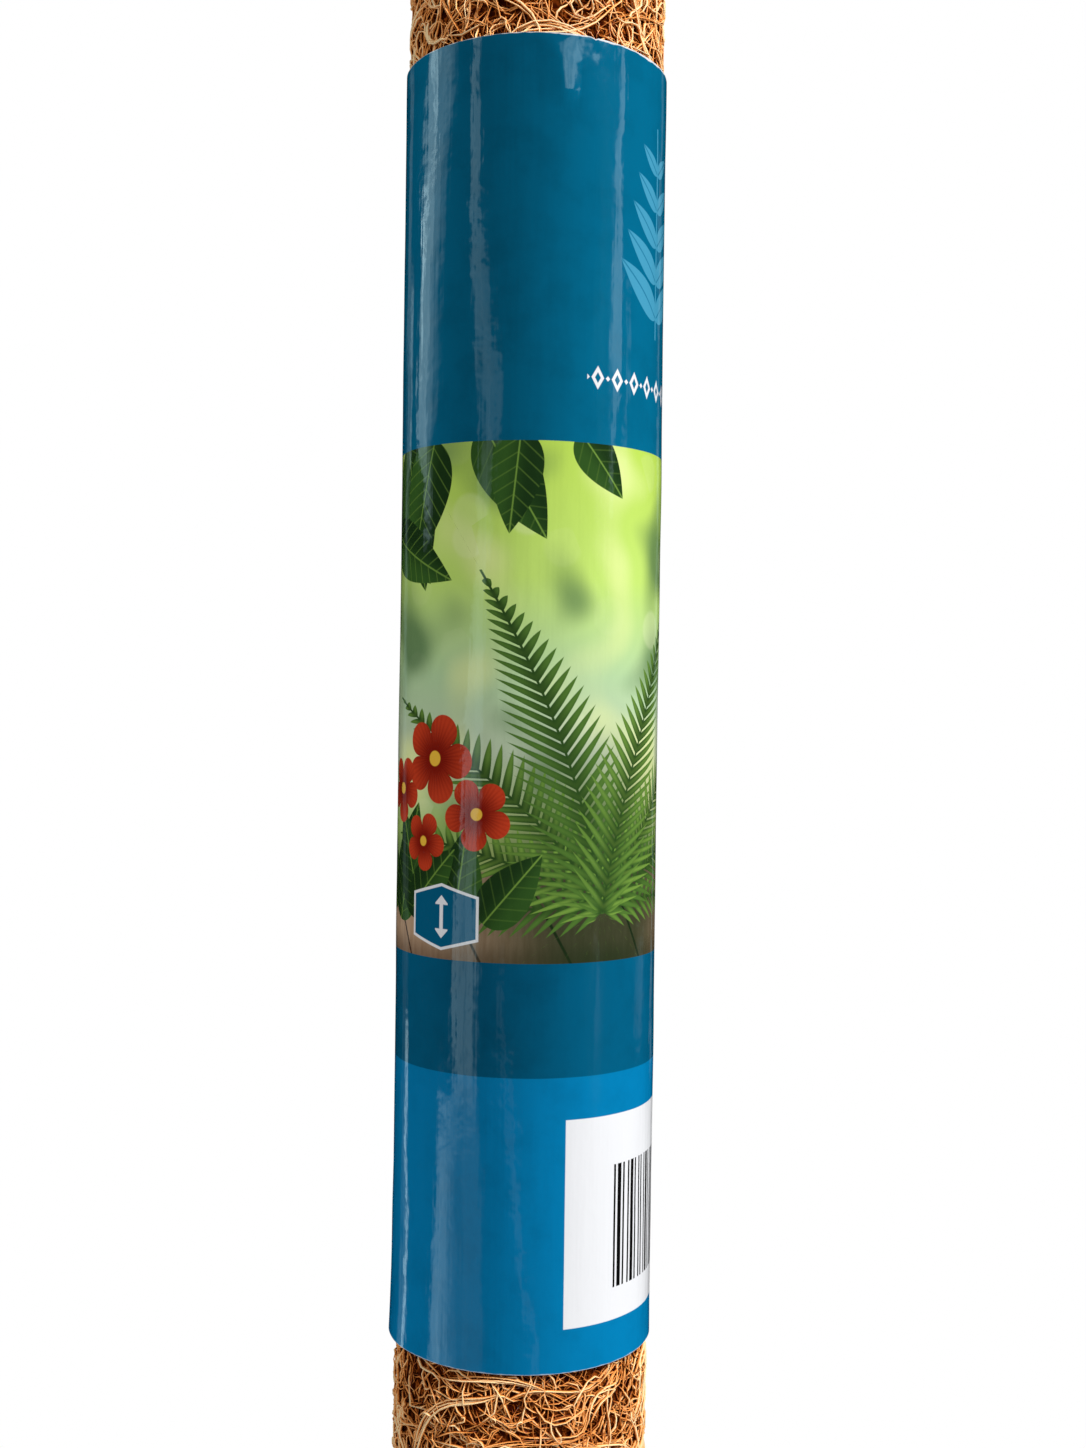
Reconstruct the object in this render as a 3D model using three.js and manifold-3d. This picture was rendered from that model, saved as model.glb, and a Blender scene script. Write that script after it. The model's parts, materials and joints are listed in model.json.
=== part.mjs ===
// An extendable coir moss pole: two coir sections plugged together on a wooden stake, with a second
// stake to go into the soil, and a printed sleeve wrapped round the joint between the sections.
// Millimetres, +Z up. The origin is on the pole's axis at the soil line, the lower end of the coir.
import * as THREE from 'three';
import { mergeVertices } from 'three/addons/utils/BufferGeometryUtils.js';
import Module from 'manifold-3d';

const wasm = await Module();
wasm.setup();

// Driving dimensions of a section
const SECTION_LENGTH = 350;
const COIR_DIAMETER = 49.6;
const MAT_THICKNESS = 6;
const MAT_EDGE_CHAMFER = 1.2;
const MAT_SEAM_WIDTH = 0.8;
const FILLER_RECESS = 1.5;
const TUBE_DIAMETER = 20;
const TUBE_WALL = 1.8;
const TUBE_MOUTH_CHAMFER = 0.8;

// Driving dimensions of a stake and of the pin that stops it in its tube
const STAKE_FREE_LENGTH = 112.5;
const STAKE_DEPTH = 100;
const STAKE_POINT_LENGTH = 30;
const STAKE_TIP_DIAMETER = 3;
const STAKE_CHAMFER_LENGTH = 1;
const PIN_DIAMETER = 3;

// Driving dimensions of the printed sleeve
const SLEEVE_LENGTH = 244;
const SLEEVE_WALL = 0.3;
const SLEEVE_LAP_WIDTH = 14;

// Clearances: between pieces that lie one inside the other, and between the two sections end to end
const FIT_GAP = 0.3;
const SEAT_GAP = 0.3;

// How finely the round pieces are faceted
const SIDES = 48;
const PIN_SIDES = 16;

// Radii and heights that follow from the driving dimensions
const coirRadius = COIR_DIAMETER / 2;
const matBoreRadius = coirRadius - MAT_THICKNESS;
const fillerRadius = matBoreRadius - FIT_GAP;
const tubeRadius = TUBE_DIAMETER / 2;
const tubeBoreRadius = tubeRadius - TUBE_WALL;
const fillerBoreRadius = tubeRadius + FIT_GAP;
const stakeRadius = tubeBoreRadius - FIT_GAP;
const stakeTipRadius = STAKE_TIP_DIAMETER / 2;
const pinRadius = PIN_DIAMETER / 2;
const pinHeight = STAKE_DEPTH + FIT_GAP + pinRadius;
const sleeveBoreRadius = coirRadius + FIT_GAP;
const sleeveRadius = sleeveBoreRadius + SLEEVE_WALL;
const upperSectionBase = SECTION_LENGTH + SEAT_GAP;
const poleTop = upperSectionBase + SECTION_LENGTH;
const sleeveBase = (poleTop - SLEEVE_LENGTH) / 2;

const coirFinish = new THREE.MeshStandardMaterial({ color: 0xb5793f, roughness: 0.95, metalness: 0 });
const fillerFinish = new THREE.MeshStandardMaterial({ color: 0x7d4b25, roughness: 1, metalness: 0 });
const tubeFinish = new THREE.MeshStandardMaterial({ color: 0xd9d6cd, roughness: 0.5, metalness: 0 });
const woodFinish = new THREE.MeshStandardMaterial({ color: 0xd8b47c, roughness: 0.75, metalness: 0 });
const pinFinish = new THREE.MeshStandardMaterial({ color: 0xa9abad, roughness: 0.35, metalness: 1 });
const sleeveFinish = new THREE.MeshStandardMaterial({ color: 0x06618a, roughness: 0.2, metalness: 0 });

// Surface of revolution about Z from a profile of [radius, height] points, listed anticlockwise with
// radius to the right and height up.
function revolve(profile, sides = SIDES) {
  const points = profile.map(([radius, height]) => new THREE.Vector2(radius, height));
  return new THREE.LatheGeometry(points, sides).rotateX(Math.PI / 2);
}

// A straight ring from z = 0 up to its length, with chamfered edges outside and inside.
function ring(outerRadius, innerRadius, length, outerChamfer = 0, innerChamfer = 0) {
  const profile = [[innerRadius, innerChamfer]];
  if (innerChamfer > 0) profile.push([innerRadius + innerChamfer, 0]);
  if (outerChamfer > 0) profile.push([outerRadius - outerChamfer, 0]);
  profile.push([outerRadius, outerChamfer], [outerRadius, length - outerChamfer]);
  if (outerChamfer > 0) profile.push([outerRadius - outerChamfer, length]);
  if (innerChamfer > 0) profile.push([innerRadius + innerChamfer, length]);
  profile.push([innerRadius, length - innerChamfer], [innerRadius, innerChamfer]);
  return revolve(profile);
}

// A closed geometry as a solid that can be cut.
function solidOf(geometry) {
  const bare = geometry.clone();
  bare.deleteAttribute('normal');
  bare.deleteAttribute('uv');
  const merged = mergeVertices(bare);
  return new wasm.Manifold(new wasm.Mesh({
    numProp: 3,
    vertProperties: merged.attributes.position.array,
    triVerts: new Uint32Array(merged.index.array),
  }));
}

// The first geometry with the second cut away.
function cut(geometry, cutter) {
  const mesh = solidOf(geometry).subtract(solidOf(cutter)).getMesh();
  const result = new THREE.BufferGeometry();
  result.setAttribute('position', new THREE.BufferAttribute(mesh.vertProperties, 3));
  result.setIndex(new THREE.BufferAttribute(mesh.triVerts, 1));
  result.computeVertexNormals();
  return result;
}

// Core tube: a plastic pipe whose bore takes a stake from either end, cross-drilled for the stop pin.
function coreTube() {
  const pipe = ring(tubeRadius, tubeBoreRadius, SECTION_LENGTH, 0, TUBE_MOUTH_CHAMFER);
  return cut(pipe, crossPin(pinRadius + FIT_GAP, TUBE_DIAMETER + 2 * TUBE_WALL));
}

// A round bar along X through the axis, at the height of the stop pin.
function crossPin(radius, length) {
  const bar = new THREE.CylinderGeometry(radius, radius, length, PIN_SIDES);
  return bar.rotateZ(Math.PI / 2).translate(0, 0, pinHeight);
}

// Stop pin: a steel pin across the tube that the top of the stake is driven up against.
function stopPin() {
  return crossPin(pinRadius, TUBE_DIAMETER);
}

// Filler: loose coir packed round the tube, a little short of the section's ends.
function coirFiller() {
  const length = SECTION_LENGTH - 2 * FILLER_RECESS;
  return ring(fillerRadius, fillerBoreRadius, length).translate(0, 0, FILLER_RECESS);
}

// Mat: a sheet of bonded coir rolled round the filler, its two edges butted in a seam at the back.
function coirMat() {
  const sheet = ring(coirRadius, matBoreRadius, SECTION_LENGTH, MAT_EDGE_CHAMFER);
  const seam = new THREE.BoxGeometry(MAT_SEAM_WIDTH, 2 * MAT_THICKNESS, 2 * SECTION_LENGTH);
  return cut(sheet, seam.translate(0, coirRadius - MAT_THICKNESS / 2, SECTION_LENGTH / 2));
}

// Stake: a round wooden dowel with a long blunt point, from its tip below the section to the stop pin.
function stake() {
  return revolve([
    [0, -STAKE_FREE_LENGTH],
    [stakeTipRadius, -STAKE_FREE_LENGTH],
    [stakeRadius, STAKE_POINT_LENGTH - STAKE_FREE_LENGTH],
    [stakeRadius, STAKE_DEPTH - STAKE_CHAMFER_LENGTH],
    [stakeRadius - STAKE_CHAMFER_LENGTH, STAKE_DEPTH],
    [0, STAKE_DEPTH],
  ]);
}

// Sleeve: a printed sheet wrapped round the coir, one edge lapped over the other and glued at the back.
function printedSleeve() {
  const lapHalfAngle = SLEEVE_LAP_WIDTH / 2 / sleeveRadius;
  const lapStart = Math.PI / 2 - lapHalfAngle;
  const lapEnd = Math.PI / 2 + lapHalfAngle;
  const outline = new THREE.Shape();
  outline.absarc(0, 0, sleeveRadius + SLEEVE_WALL, lapStart, lapEnd, false);
  outline.absarc(0, 0, sleeveRadius, lapEnd, lapStart + 2 * Math.PI, false);
  outline.closePath();
  const bore = new THREE.Path();
  bore.absarc(0, 0, sleeveBoreRadius, 0, 2 * Math.PI, true);
  outline.holes.push(bore);
  // Each arc is drawn in twice as many steps as curveSegments says.
  return new THREE.ExtrudeGeometry(outline, {
    depth: SLEEVE_LENGTH,
    bevelEnabled: false,
    curveSegments: SIDES / 2,
  });
}

function named(name, geometry, finish) {
  const mesh = new THREE.Mesh(geometry, finish);
  mesh.name = name;
  return mesh;
}

// One section with its core tube, stop pin, filler and mat, standing on its lower end.
function section(place) {
  const group = new THREE.Group();
  group.add(
    named(`${place}_core_tube`, coreTube(), tubeFinish),
    named(`${place}_stop_pin`, stopPin(), pinFinish),
    named(`${place}_coir_filler`, coirFiller(), fillerFinish),
    named(`${place}_coir_mat`, coirMat(), coirFinish),
  );
  return group;
}

const lowerSection = section('lower');
lowerSection.add(named('ground_stake', stake(), woodFinish));

const upperSection = section('upper');
upperSection.add(named('connecting_stake', stake(), woodFinish));
upperSection.position.z = upperSectionBase;

const sleeve = named('printed_sleeve', printedSleeve(), sleeveFinish);
sleeve.position.z = sleeveBase;

const mossPole = new THREE.Group();
mossPole.add(lowerSection, upperSection, sleeve);

export default mossPole;
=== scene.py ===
"""Looks of an extendable coir moss pole: coconut fibre, wooden stakes, core tubes and a printed sleeve."""

import json
import math

import bpy
import numpy as np
from bpy.props import FloatProperty, FloatVectorProperty, IntProperty, PointerProperty
from mathutils import Matrix, Vector

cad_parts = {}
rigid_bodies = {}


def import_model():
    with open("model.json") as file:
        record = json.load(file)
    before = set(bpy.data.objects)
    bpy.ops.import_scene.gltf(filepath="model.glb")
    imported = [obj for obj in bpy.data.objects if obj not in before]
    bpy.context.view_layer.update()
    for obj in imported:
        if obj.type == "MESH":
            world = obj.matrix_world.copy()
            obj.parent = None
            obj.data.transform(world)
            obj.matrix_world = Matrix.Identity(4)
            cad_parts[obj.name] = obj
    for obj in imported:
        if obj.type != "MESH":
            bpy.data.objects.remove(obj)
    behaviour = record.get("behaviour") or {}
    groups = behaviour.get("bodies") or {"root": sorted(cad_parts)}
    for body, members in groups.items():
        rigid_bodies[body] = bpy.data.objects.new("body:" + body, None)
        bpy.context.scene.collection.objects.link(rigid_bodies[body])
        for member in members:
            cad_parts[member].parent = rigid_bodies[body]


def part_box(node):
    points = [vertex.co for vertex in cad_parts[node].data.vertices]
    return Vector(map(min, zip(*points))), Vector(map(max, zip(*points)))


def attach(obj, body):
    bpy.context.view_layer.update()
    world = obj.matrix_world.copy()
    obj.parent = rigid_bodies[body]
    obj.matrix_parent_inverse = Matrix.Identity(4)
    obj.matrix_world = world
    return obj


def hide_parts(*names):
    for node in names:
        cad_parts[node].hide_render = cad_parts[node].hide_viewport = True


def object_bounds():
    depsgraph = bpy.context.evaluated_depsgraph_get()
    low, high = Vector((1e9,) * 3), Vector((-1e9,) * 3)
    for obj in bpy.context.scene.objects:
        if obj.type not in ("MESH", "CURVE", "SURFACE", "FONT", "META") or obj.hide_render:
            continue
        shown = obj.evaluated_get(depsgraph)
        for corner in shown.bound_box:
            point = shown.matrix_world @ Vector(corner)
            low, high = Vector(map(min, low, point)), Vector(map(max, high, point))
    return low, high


bl_info = {
    "name": "Coir Moss Pole",
    "version": (1, 0, 0),
    "blender": (4, 5, 0),
    "location": "View3D > Sidebar > Moss Pole",
    "description": "Dresses a coir moss pole in fibre, wood, plastic and a printed sleeve",
    "category": "Add Mesh",
}

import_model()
CAD_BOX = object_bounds()

MM = 0.001
SECTIONS = ("lower", "upper")
TINY = 1e-12

# Seeds of the random draws
SLEEVE_SEED = 7
LAY_SEED = 11
STAKE_SEED = 21
FIBRE_SEED = 101
END_SEED = 301


def radius_of(node):
    """Half the width of a round node along X."""
    low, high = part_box(node)
    return (high.x - low.x) / 2


def span_of(node):
    """Lowest and highest height of a node."""
    low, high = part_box(node)
    return low.z, high.z


# Sizes read from the frame
COIR_RADIUS = radius_of("lower_coir_mat")
FILLER_RADIUS = radius_of("lower_coir_filler")
TUBE_RADIUS = radius_of("lower_core_tube")
STAKE_RADIUS = radius_of("ground_stake")
PIN_RADIUS = (span_of("lower_stop_pin")[1] - span_of("lower_stop_pin")[0]) / 2
SLEEVE_RADIUS = radius_of("printed_sleeve")
SLEEVE_BASE, SLEEVE_TOP = span_of("printed_sleeve")
SLEEVE_LENGTH = SLEEVE_TOP - SLEEVE_BASE
SLEEVE_MIDDLE = (SLEEVE_BASE + SLEEVE_TOP) / 2

# Sizes that the frame's boxes don't give
MAT_THICKNESS = 6 * MM
TUBE_WALL = 1.8 * MM
FIT_GAP = 0.3 * MM
SLEEVE_WALL = 0.25 * MM
SLEEVE_LAP = 14 * MM
STAKE_POINT = 30 * MM
STAKE_TIP_RADIUS = 1.5 * MM

# Angles are measured round the pole from its front, positive to the right as seen from there.
SEAM_ANGLE = math.pi
LAP_HALF_ANGLE = SLEEVE_LAP / 2 / SLEEVE_RADIUS
SHEET_HALF_ANGLE = math.pi + LAP_HALF_ANGLE

# The printed sheet laid flat, in millimetres
SHEET_WIDTH = 2 * SHEET_HALF_ANGLE * SLEEVE_RADIUS / MM
SHEET_HEIGHT = SLEEVE_LENGTH / MM


def count_setting(name, description, default, least=0):
    """A whole number that a user may change."""
    return IntProperty(name=name, description=description, default=default, min=least)


def length_setting(name, description, millimetres):
    """A length that a user may change."""
    return FloatProperty(name=name, description=description, default=millimetres * MM, unit="LENGTH")


def angle_setting(name, description, degrees):
    """An angle that a user may change."""
    return FloatProperty(name=name, description=description, default=math.radians(degrees), unit="ROTATION")


def power_setting(name, description, watts):
    """A light's power that a user may change."""
    return FloatProperty(name=name, description=description, default=watts, unit="POWER", min=0)


def colour_setting(name, description, default):
    """A colour that a user may change."""
    return FloatVectorProperty(name=name, description=description, default=default, size=3, subtype="COLOR")


class CoirSettings(bpy.types.PropertyGroup):
    """Fibres of the coir sections."""

    bundles: count_setting("Bundles", "Bundles of long strands wound round each section", 340)
    bundle_strands: count_setting("Strands in a bundle", "Strands that run together in each bundle", 4, 1)
    curls: count_setting("Curls", "Short curled fibres between the strands of each section", 8600)
    matting: count_setting("Matting", "Fibres of the matted layer under the curls of each section", 9500)
    end_fibres: count_setting("End fibres", "Cut fibres on each end of a mat and of a filler", 420)
    strand_length: length_setting("Strand length", "Usual length of a bundle", 58)
    curl_length: length_setting("Curl length", "Usual length of a curled fibre", 10)
    end_length: length_setting("End length", "Usual length of a cut fibre on an end", 8)
    strand_radius: length_setting("Strand radius", "Usual radius of a strand", 0.24)
    curl_radius: length_setting("Curl radius", "Usual radius of a curled fibre", 0.22)
    # The gap colour is painted shade deep between the fibres, and straw on top is partly painted light
    gap_shade_colour: colour_setting("Gap colour", "Colour deep between the fibres", (0.035, 0.004, 0.001))
    fibre_colour: colour_setting("Fibre colour", "Colour of most fibres", (0.72, 0.235, 0.043))
    straw_colour: colour_setting("Straw colour", "Colour of the fibres on top", (1.0, 0.455, 0.135))
    # The crest colour is a painted highlight along the backs of the palest fibres
    crest_highlight_colour: colour_setting(
        "Crest colour", "Colour of the palest fibres along their backs", (1.0, 0.75, 0.42))


class SleeveSettings(bpy.types.PropertyGroup):
    """Bands and colours of the printed sleeve."""

    light_band: length_setting("Light band", "Height of the lighter blue band", 54.2)
    dark_band: length_setting("Dark band", "Height of the dark band above it", 20.9)
    picture: length_setting("Picture", "Height of the picture band", 95.2)
    top_colour: colour_setting("Top colour", "Ink of the top band", (0.001, 0.14, 0.265))
    dark_colour: colour_setting("Dark colour", "Ink of the dark band", (0.001, 0.108, 0.216))
    light_colour: colour_setting("Light colour", "Ink of the lighter blue band", (0.001, 0.203, 0.447))


class StageSettings(bpy.types.PropertyGroup):
    """Camera and light of the studio."""

    focal_length: FloatProperty(
        name="Focal length", description="Lens for the sensor's width on the picture's long side",
        default=41.34, unit="CAMERA")
    distance: length_setting("Distance", "From the pole's axis to the camera", 327.45)
    height: length_setting("Height", "Camera's height against the middle of the sleeve", -0.57)
    pitch: angle_setting("Pitch", "Camera's tilt above the horizon", -0.4945)
    yaw: angle_setting("Yaw", "Camera's turn to the right", 0.5047)
    roll: angle_setting("Roll", "Camera's turn about its own axis", 0.7793)
    key_power: power_setting("Key power", "Power of the key light at the right", 25)
    fill_power: power_setting("Fill power", "Power of the fill light at the left", 5.5)
    back_power: power_setting("Back power", "Power of the light behind", 14)
    coir_key_power: power_setting("Coir key power", "Power of the coir's light from the upper right", 64)
    coir_fill_power: power_setting("Coir fill power", "Power of the coir's light from the upper left", 7)
    coir_shine_power: power_setting(
        "Coir shine power", "Power of the light that only the coir's gloss sees", 65)
    ambient: FloatProperty(
        name="Ambient", description="Brightness of the light from all round", default=0.42, min=0)


def around(angle, radius, height):
    """Points on circles about the pole's axis.

    x is radius * sin(angle) and y is -radius * cos(angle): 0 is the front (-Y), and angles grow to +X.
    """
    return np.stack(np.broadcast_arrays(radius * np.sin(angle), -radius * np.cos(angle), height), axis=-1)


def outward(angle):
    """Unit vectors that point away from the axis at an angle."""
    return around(angle, 1.0, 0.0)


def full_turn(columns):
    """Even angles once round, without the last that would repeat the first."""
    return np.arange(columns) * 2 * np.pi / columns


def smooth_step(value, low, high):
    """0 below low, 1 above high and an S-shaped ramp between them."""
    share = np.clip((value - low) / (high - low), 0, 1)
    return share * share * (3 - 2 * share)


def bell(value, middle, width):
    """Gaussian bump of height 1."""
    return np.exp(-(((value - middle) / width) ** 2))


class Waves:
    """A sum of sine waves in angle and height that closes round the pole.

    Each wave is amplitude * sin(turns * angle + height * 2 pi / length + phase), with whole turns.
    """

    def __init__(self, rng, count, turns, length, amplitude):
        self.turns = rng.integers(turns[0], turns[1] + 1, count) * rng.choice((-1, 1), count)
        self.pitch = 2 * np.pi / rng.uniform(length[0], length[1], count)
        self.phase = rng.uniform(0, 2 * np.pi, count)
        self.amplitude = amplitude / np.sqrt(count)

    def __call__(self, angle, height):
        angle, height = np.broadcast_arrays(angle, height)
        return self.amplitude * np.sin(
            angle[..., None] * self.turns + height[..., None] * self.pitch + self.phase).sum(-1)


def grid_quads(rows, columns, close_rows=False, close_columns=False):
    """Quads of a grid of points stored row by row, closed in either direction on request."""
    row = np.arange(rows if close_rows else rows - 1)[:, None]
    column = np.arange(columns if close_columns else columns - 1)[None, :]
    next_row = (row + 1) % rows
    next_column = (column + 1) % columns
    corners = (row * columns + column, row * columns + next_column,
               next_row * columns + next_column, next_row * columns + column)
    return np.stack(np.broadcast_arrays(*corners), axis=-1).reshape(-1, 4)


def new_object(name, points, quads, triangles=None, uv=None, values=None):
    """An object at the origin from arrays of points, faces, corner UVs and named values per point."""
    points = np.asarray(points, dtype=np.float32).reshape(-1, 3)
    faces = [np.asarray(quads)]
    if triangles is not None:
        faces.append(np.asarray(triangles))
    corners = np.concatenate([part.ravel() for part in faces]).astype(np.int32)
    sizes = np.concatenate([np.full(len(part), part.shape[1]) for part in faces]).astype(np.int32)
    mesh = bpy.data.meshes.new(name)
    mesh.vertices.add(len(points))
    mesh.vertices.foreach_set("co", points.ravel())
    mesh.loops.add(len(corners))
    mesh.loops.foreach_set("vertex_index", corners)
    mesh.polygons.add(len(sizes))
    mesh.polygons.foreach_set("loop_start", np.concatenate([[0], np.cumsum(sizes)[:-1]]).astype(np.int32))
    mesh.polygons.foreach_set("use_smooth", np.full(len(sizes), True))
    if uv is not None:
        layer = mesh.uv_layers.new(name="UVMap")
        layer.data.foreach_set("uv", np.asarray(uv, dtype=np.float32)[corners].ravel())
    for key, value in (values or {}).items():
        attribute = mesh.attributes.new(key, "FLOAT", "POINT")
        attribute.data.foreach_set("value", np.asarray(value, dtype=np.float32).ravel())
    mesh.update(calc_edges=True)
    mesh.validate()
    made = bpy.data.objects.new(name, mesh)
    bpy.context.scene.collection.objects.link(made)
    return made


def dress(piece, body, materials, nodes=()):
    """Gives a piece its materials, the body it rides on and the nodes it stands for."""
    for material in materials:
        piece.data.materials.append(material)
    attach(piece, body)
    if nodes:
        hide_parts(*nodes)


class Signal:
    """A value that a node works out. Python's arithmetic on it makes Math nodes."""

    def __init__(self, graph, socket):
        self.graph = graph
        self.socket = socket

    def __add__(self, other):
        return self.graph.math("ADD", self, other)

    def __sub__(self, other):
        return self.graph.math("SUBTRACT", self, other)

    def __rsub__(self, other):
        return self.graph.math("SUBTRACT", other, self)

    def __mul__(self, other):
        return self.graph.math("MULTIPLY", self, other)

    def __truediv__(self, other):
        return self.graph.math("DIVIDE", self, other)

    def __abs__(self):
        return self.graph.math("ABSOLUTE", self)

    def scaled(self, factor, shift):
        """The value times a factor plus a shift, in one node."""
        return self.graph.math("MULTIPLY_ADD", self, factor, shift)


class Graph:
    """A new material and its node tree, with short calls for the nodes that the finishes use."""

    SOFT_EDGE = 0.07

    def __init__(self, name):
        self.material = bpy.data.materials.new(name)
        self.material.use_nodes = True
        self.tree = self.material.node_tree
        self.shader = self.tree.nodes["Principled BSDF"]

    def feed(self, socket, value):
        """Links a signal to a socket, or sets a constant on it."""
        if isinstance(value, Signal):
            self.tree.links.new(value.socket, socket)
        else:
            socket.default_value = value

    def node(self, kind, inputs=None, **settings):
        """A new node with its settings and inputs."""
        made = self.tree.nodes.new(kind)
        for key, value in settings.items():
            setattr(made, key, value)
        for key, value in (inputs or {}).items():
            self.feed(made.inputs[key], value)
        return made

    def signal(self, kind, output, inputs=None, **settings):
        """One output of a new node."""
        return Signal(self, self.node(kind, inputs, **settings).outputs[output])

    def math(self, operation, *values):
        return self.signal("ShaderNodeMath", 0, dict(enumerate(values)), operation=operation)

    def most(self, first, second):
        """The greater of two values."""
        return self.math("MAXIMUM", first, second)

    def below(self, value, edge, blur=SOFT_EDGE):
        """1 where a value is under an edge and 0 above it, with a soft step between."""
        return self.remap(value, edge - blur, edge + blur, 1.0, 0.0)

    def between(self, value, low, high, blur=SOFT_EDGE):
        """1 where a value lies between two edges."""
        return self.below(abs(value - (low + high) / 2), (high - low) / 2, blur)

    def turned(self, x, y, centre, angle):
        """Coordinates about a centre: along a direction at an angle from straight up, and across it."""
        sine, cosine = math.sin(angle), math.cos(angle)
        along = y.scaled(cosine, x.scaled(sine, -centre[0] * sine - centre[1] * cosine))
        across = y.scaled(-sine, x.scaled(cosine, centre[1] * sine - centre[0] * cosine))
        return along, across

    def polar(self, x, y, centre):
        """Distance and angle about a centre."""
        x, y = x - centre[0], y - centre[1]
        return self.math("SQRT", x.scaled(x, y * y)), self.math("ARCTAN2", y, x)

    def place(self):
        return self.signal("ShaderNodeTexCoord", "Object")

    def flat(self, x, y):
        """A vector from two values."""
        return self.signal("ShaderNodeCombineXYZ", 0, {0: x, 1: y})

    def stretched(self, vector, scale):
        return self.signal("ShaderNodeMapping", 0, {"Vector": vector, "Scale": scale})

    def value(self, name):
        """A named value of the mesh."""
        return self.signal("ShaderNodeAttribute", "Fac", attribute_name=name)

    def noise(self, vector, scale, detail=2.0, roughness=0.5):
        inputs = {"Vector": vector, "Scale": scale, "Detail": detail, "Roughness": roughness}
        return self.signal("ShaderNodeTexNoise", "Fac", inputs)

    def ramp(self, factor, stops):
        """A colour ramp from pairs of a position and a colour."""
        made = self.node("ShaderNodeValToRGB", {"Fac": factor})
        elements = made.color_ramp.elements
        while len(elements) < len(stops):
            elements.new(1.0)
        for element, (position, colour) in zip(elements, stops):
            element.position = position
            element.color = (*colour, 1.0)
        return Signal(self, made.outputs["Color"])

    def mix(self, factor, first, second):
        """One colour turned into another by a factor, on the Mix node's sockets for colours."""
        first, second = (shade if isinstance(shade, Signal) else (*shade, 1.0) for shade in (first, second))
        return self.signal("ShaderNodeMix", 2, {0: factor, 6: first, 7: second}, data_type="RGBA")

    def remap(self, value, low, high, start=0.0, end=1.0, smooth=True):
        inputs = {"Value": value, "From Min": low, "From Max": high, "To Min": start, "To Max": end}
        interpolation = "SMOOTHSTEP" if smooth else "LINEAR"
        return self.signal("ShaderNodeMapRange", 0, inputs, interpolation_type=interpolation)

    def bump(self, height, strength, distance):
        inputs = {"Height": height, "Strength": strength, "Distance": distance}
        self.feed(self.shader.inputs["Normal"], self.signal("ShaderNodeBump", 0, inputs))

    def finish(self, colour, roughness, **sockets):
        """Sets the shader's sockets, named with underscores, and gives the material."""
        self.feed(self.shader.inputs["Base Color"], colour)
        self.feed(self.shader.inputs["Roughness"], roughness)
        for key, value in sockets.items():
            name = key.replace("_", " ").title().replace("Ior", "IOR")
            self.feed(self.shader.inputs[name], value)
        return self.material


def shaded(colour, shares):
    """A colour with each of its parts times a share."""
    return tuple(part * share for part, share in zip(colour, shares))


def coir_fibre_finish(settings):
    """Fibres: painted shade from dark rust deep down to straw on top, a painted highlight on backs, own tone
    and a faint mottle.
    """
    graph = Graph("coir_fibre")
    mottle = graph.noise(graph.place(), 260.0, 3.0) - 0.5
    level = mottle.scaled(0.25, graph.value("tone").scaled(0.55, -0.17))
    # depth paints shade: deeper fibres and each fibre's flanks come out darker, and its back lighter
    level = graph.value("depth").scaled(0.52, level)
    rust = shaded(settings.fibre_colour, (0.36, 0.2, 0.13))
    colour = graph.ramp(level, (
        (0.06, settings.gap_shade_colour), (0.2, rust), (0.37, settings.fibre_colour),
        (0.54, settings.straw_colour), (0.78, settings.crest_highlight_colour)))
    return graph.finish(colour, 0.3, specular_ior_level=0.1)


# The core's three layers of fibre lines: scale of the noise, its shift, and how pale the lines are, lower
# layers painted darker as shade
CORE_WEB = ((300.0, 0.0, 0.4), (380.0, 0.31, 0.65), (470.0, 0.77, 1.0))


def coir_core_finish(settings):
    """The mass under the fibres: holes painted dark as shade in a web of fine fibres.

    A fibre is the line where a noise passes its middle value. Three such noises lie over each other, the
    finest on top and palest, with the deeper layers painted darker as shade.
    """
    graph = Graph("coir_core")
    place = graph.place()
    web = 0.0
    for scale, shift, share in CORE_WEB:
        spot = graph.signal("ShaderNodeMapping", 0, {"Vector": place, "Location": (shift, shift, shift)})
        away = abs(graph.noise(spot, scale, 1.0) - 0.5)
        web = graph.most(graph.below(away, 0.04, 0.03) * share, web)
    rust = shaded(settings.fibre_colour, (0.16, 0.09, 0.06))
    pale = shaded(settings.fibre_colour, (0.4, 0.27, 0.19))
    colour = graph.ramp(web, ((0.0, settings.gap_shade_colour), (0.45, rust), (1.0, pale)))
    graph.bump(web, 1.0, 0.6 * MM)
    return graph.finish(colour, 0.9, specular_ior_level=0.0)


COIR_FINISHES = ("coir_fibre", "coir_core")
CORE_RADIUS = COIR_RADIUS - 1.1 * MM
FIBRE_LIMIT = COIR_RADIUS + 0.22 * MM
FIBRE_LAYER = FIBRE_LIMIT - CORE_RADIUS
# FLANK_SHADE: painted shade on each fibre's flanks and painted highlight along its back, as a multiple of its
# size
FLANK_SHADE = 3.8
END_INSET = 0.55 * MM
SEAM_DEPTH = 0.9 * MM
SEAM_WIDTH = 0.8 * MM


def lay_of(section):
    """The lumps of one section's coir, the same for its core and for the fibres that lie on it.

    Broad and fine waves, less a groove like a bell along the butt seam.
    """
    rng = np.random.default_rng(LAY_SEED + SECTIONS.index(section))
    broad = Waves(rng, 10, (1, 6), (20 * MM, 70 * MM), 0.1 * MM)
    fine = Waves(rng, 14, (8, 24), (5 * MM, 16 * MM), 0.14 * MM)

    def lay(angle, height):
        off_seam = np.abs((angle % (2 * np.pi)) - SEAM_ANGLE) * COIR_RADIUS
        return broad(angle, height) + fine(angle, height) - SEAM_DEPTH * bell(off_seam, 0.0, SEAM_WIDTH)

    return lay


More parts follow.
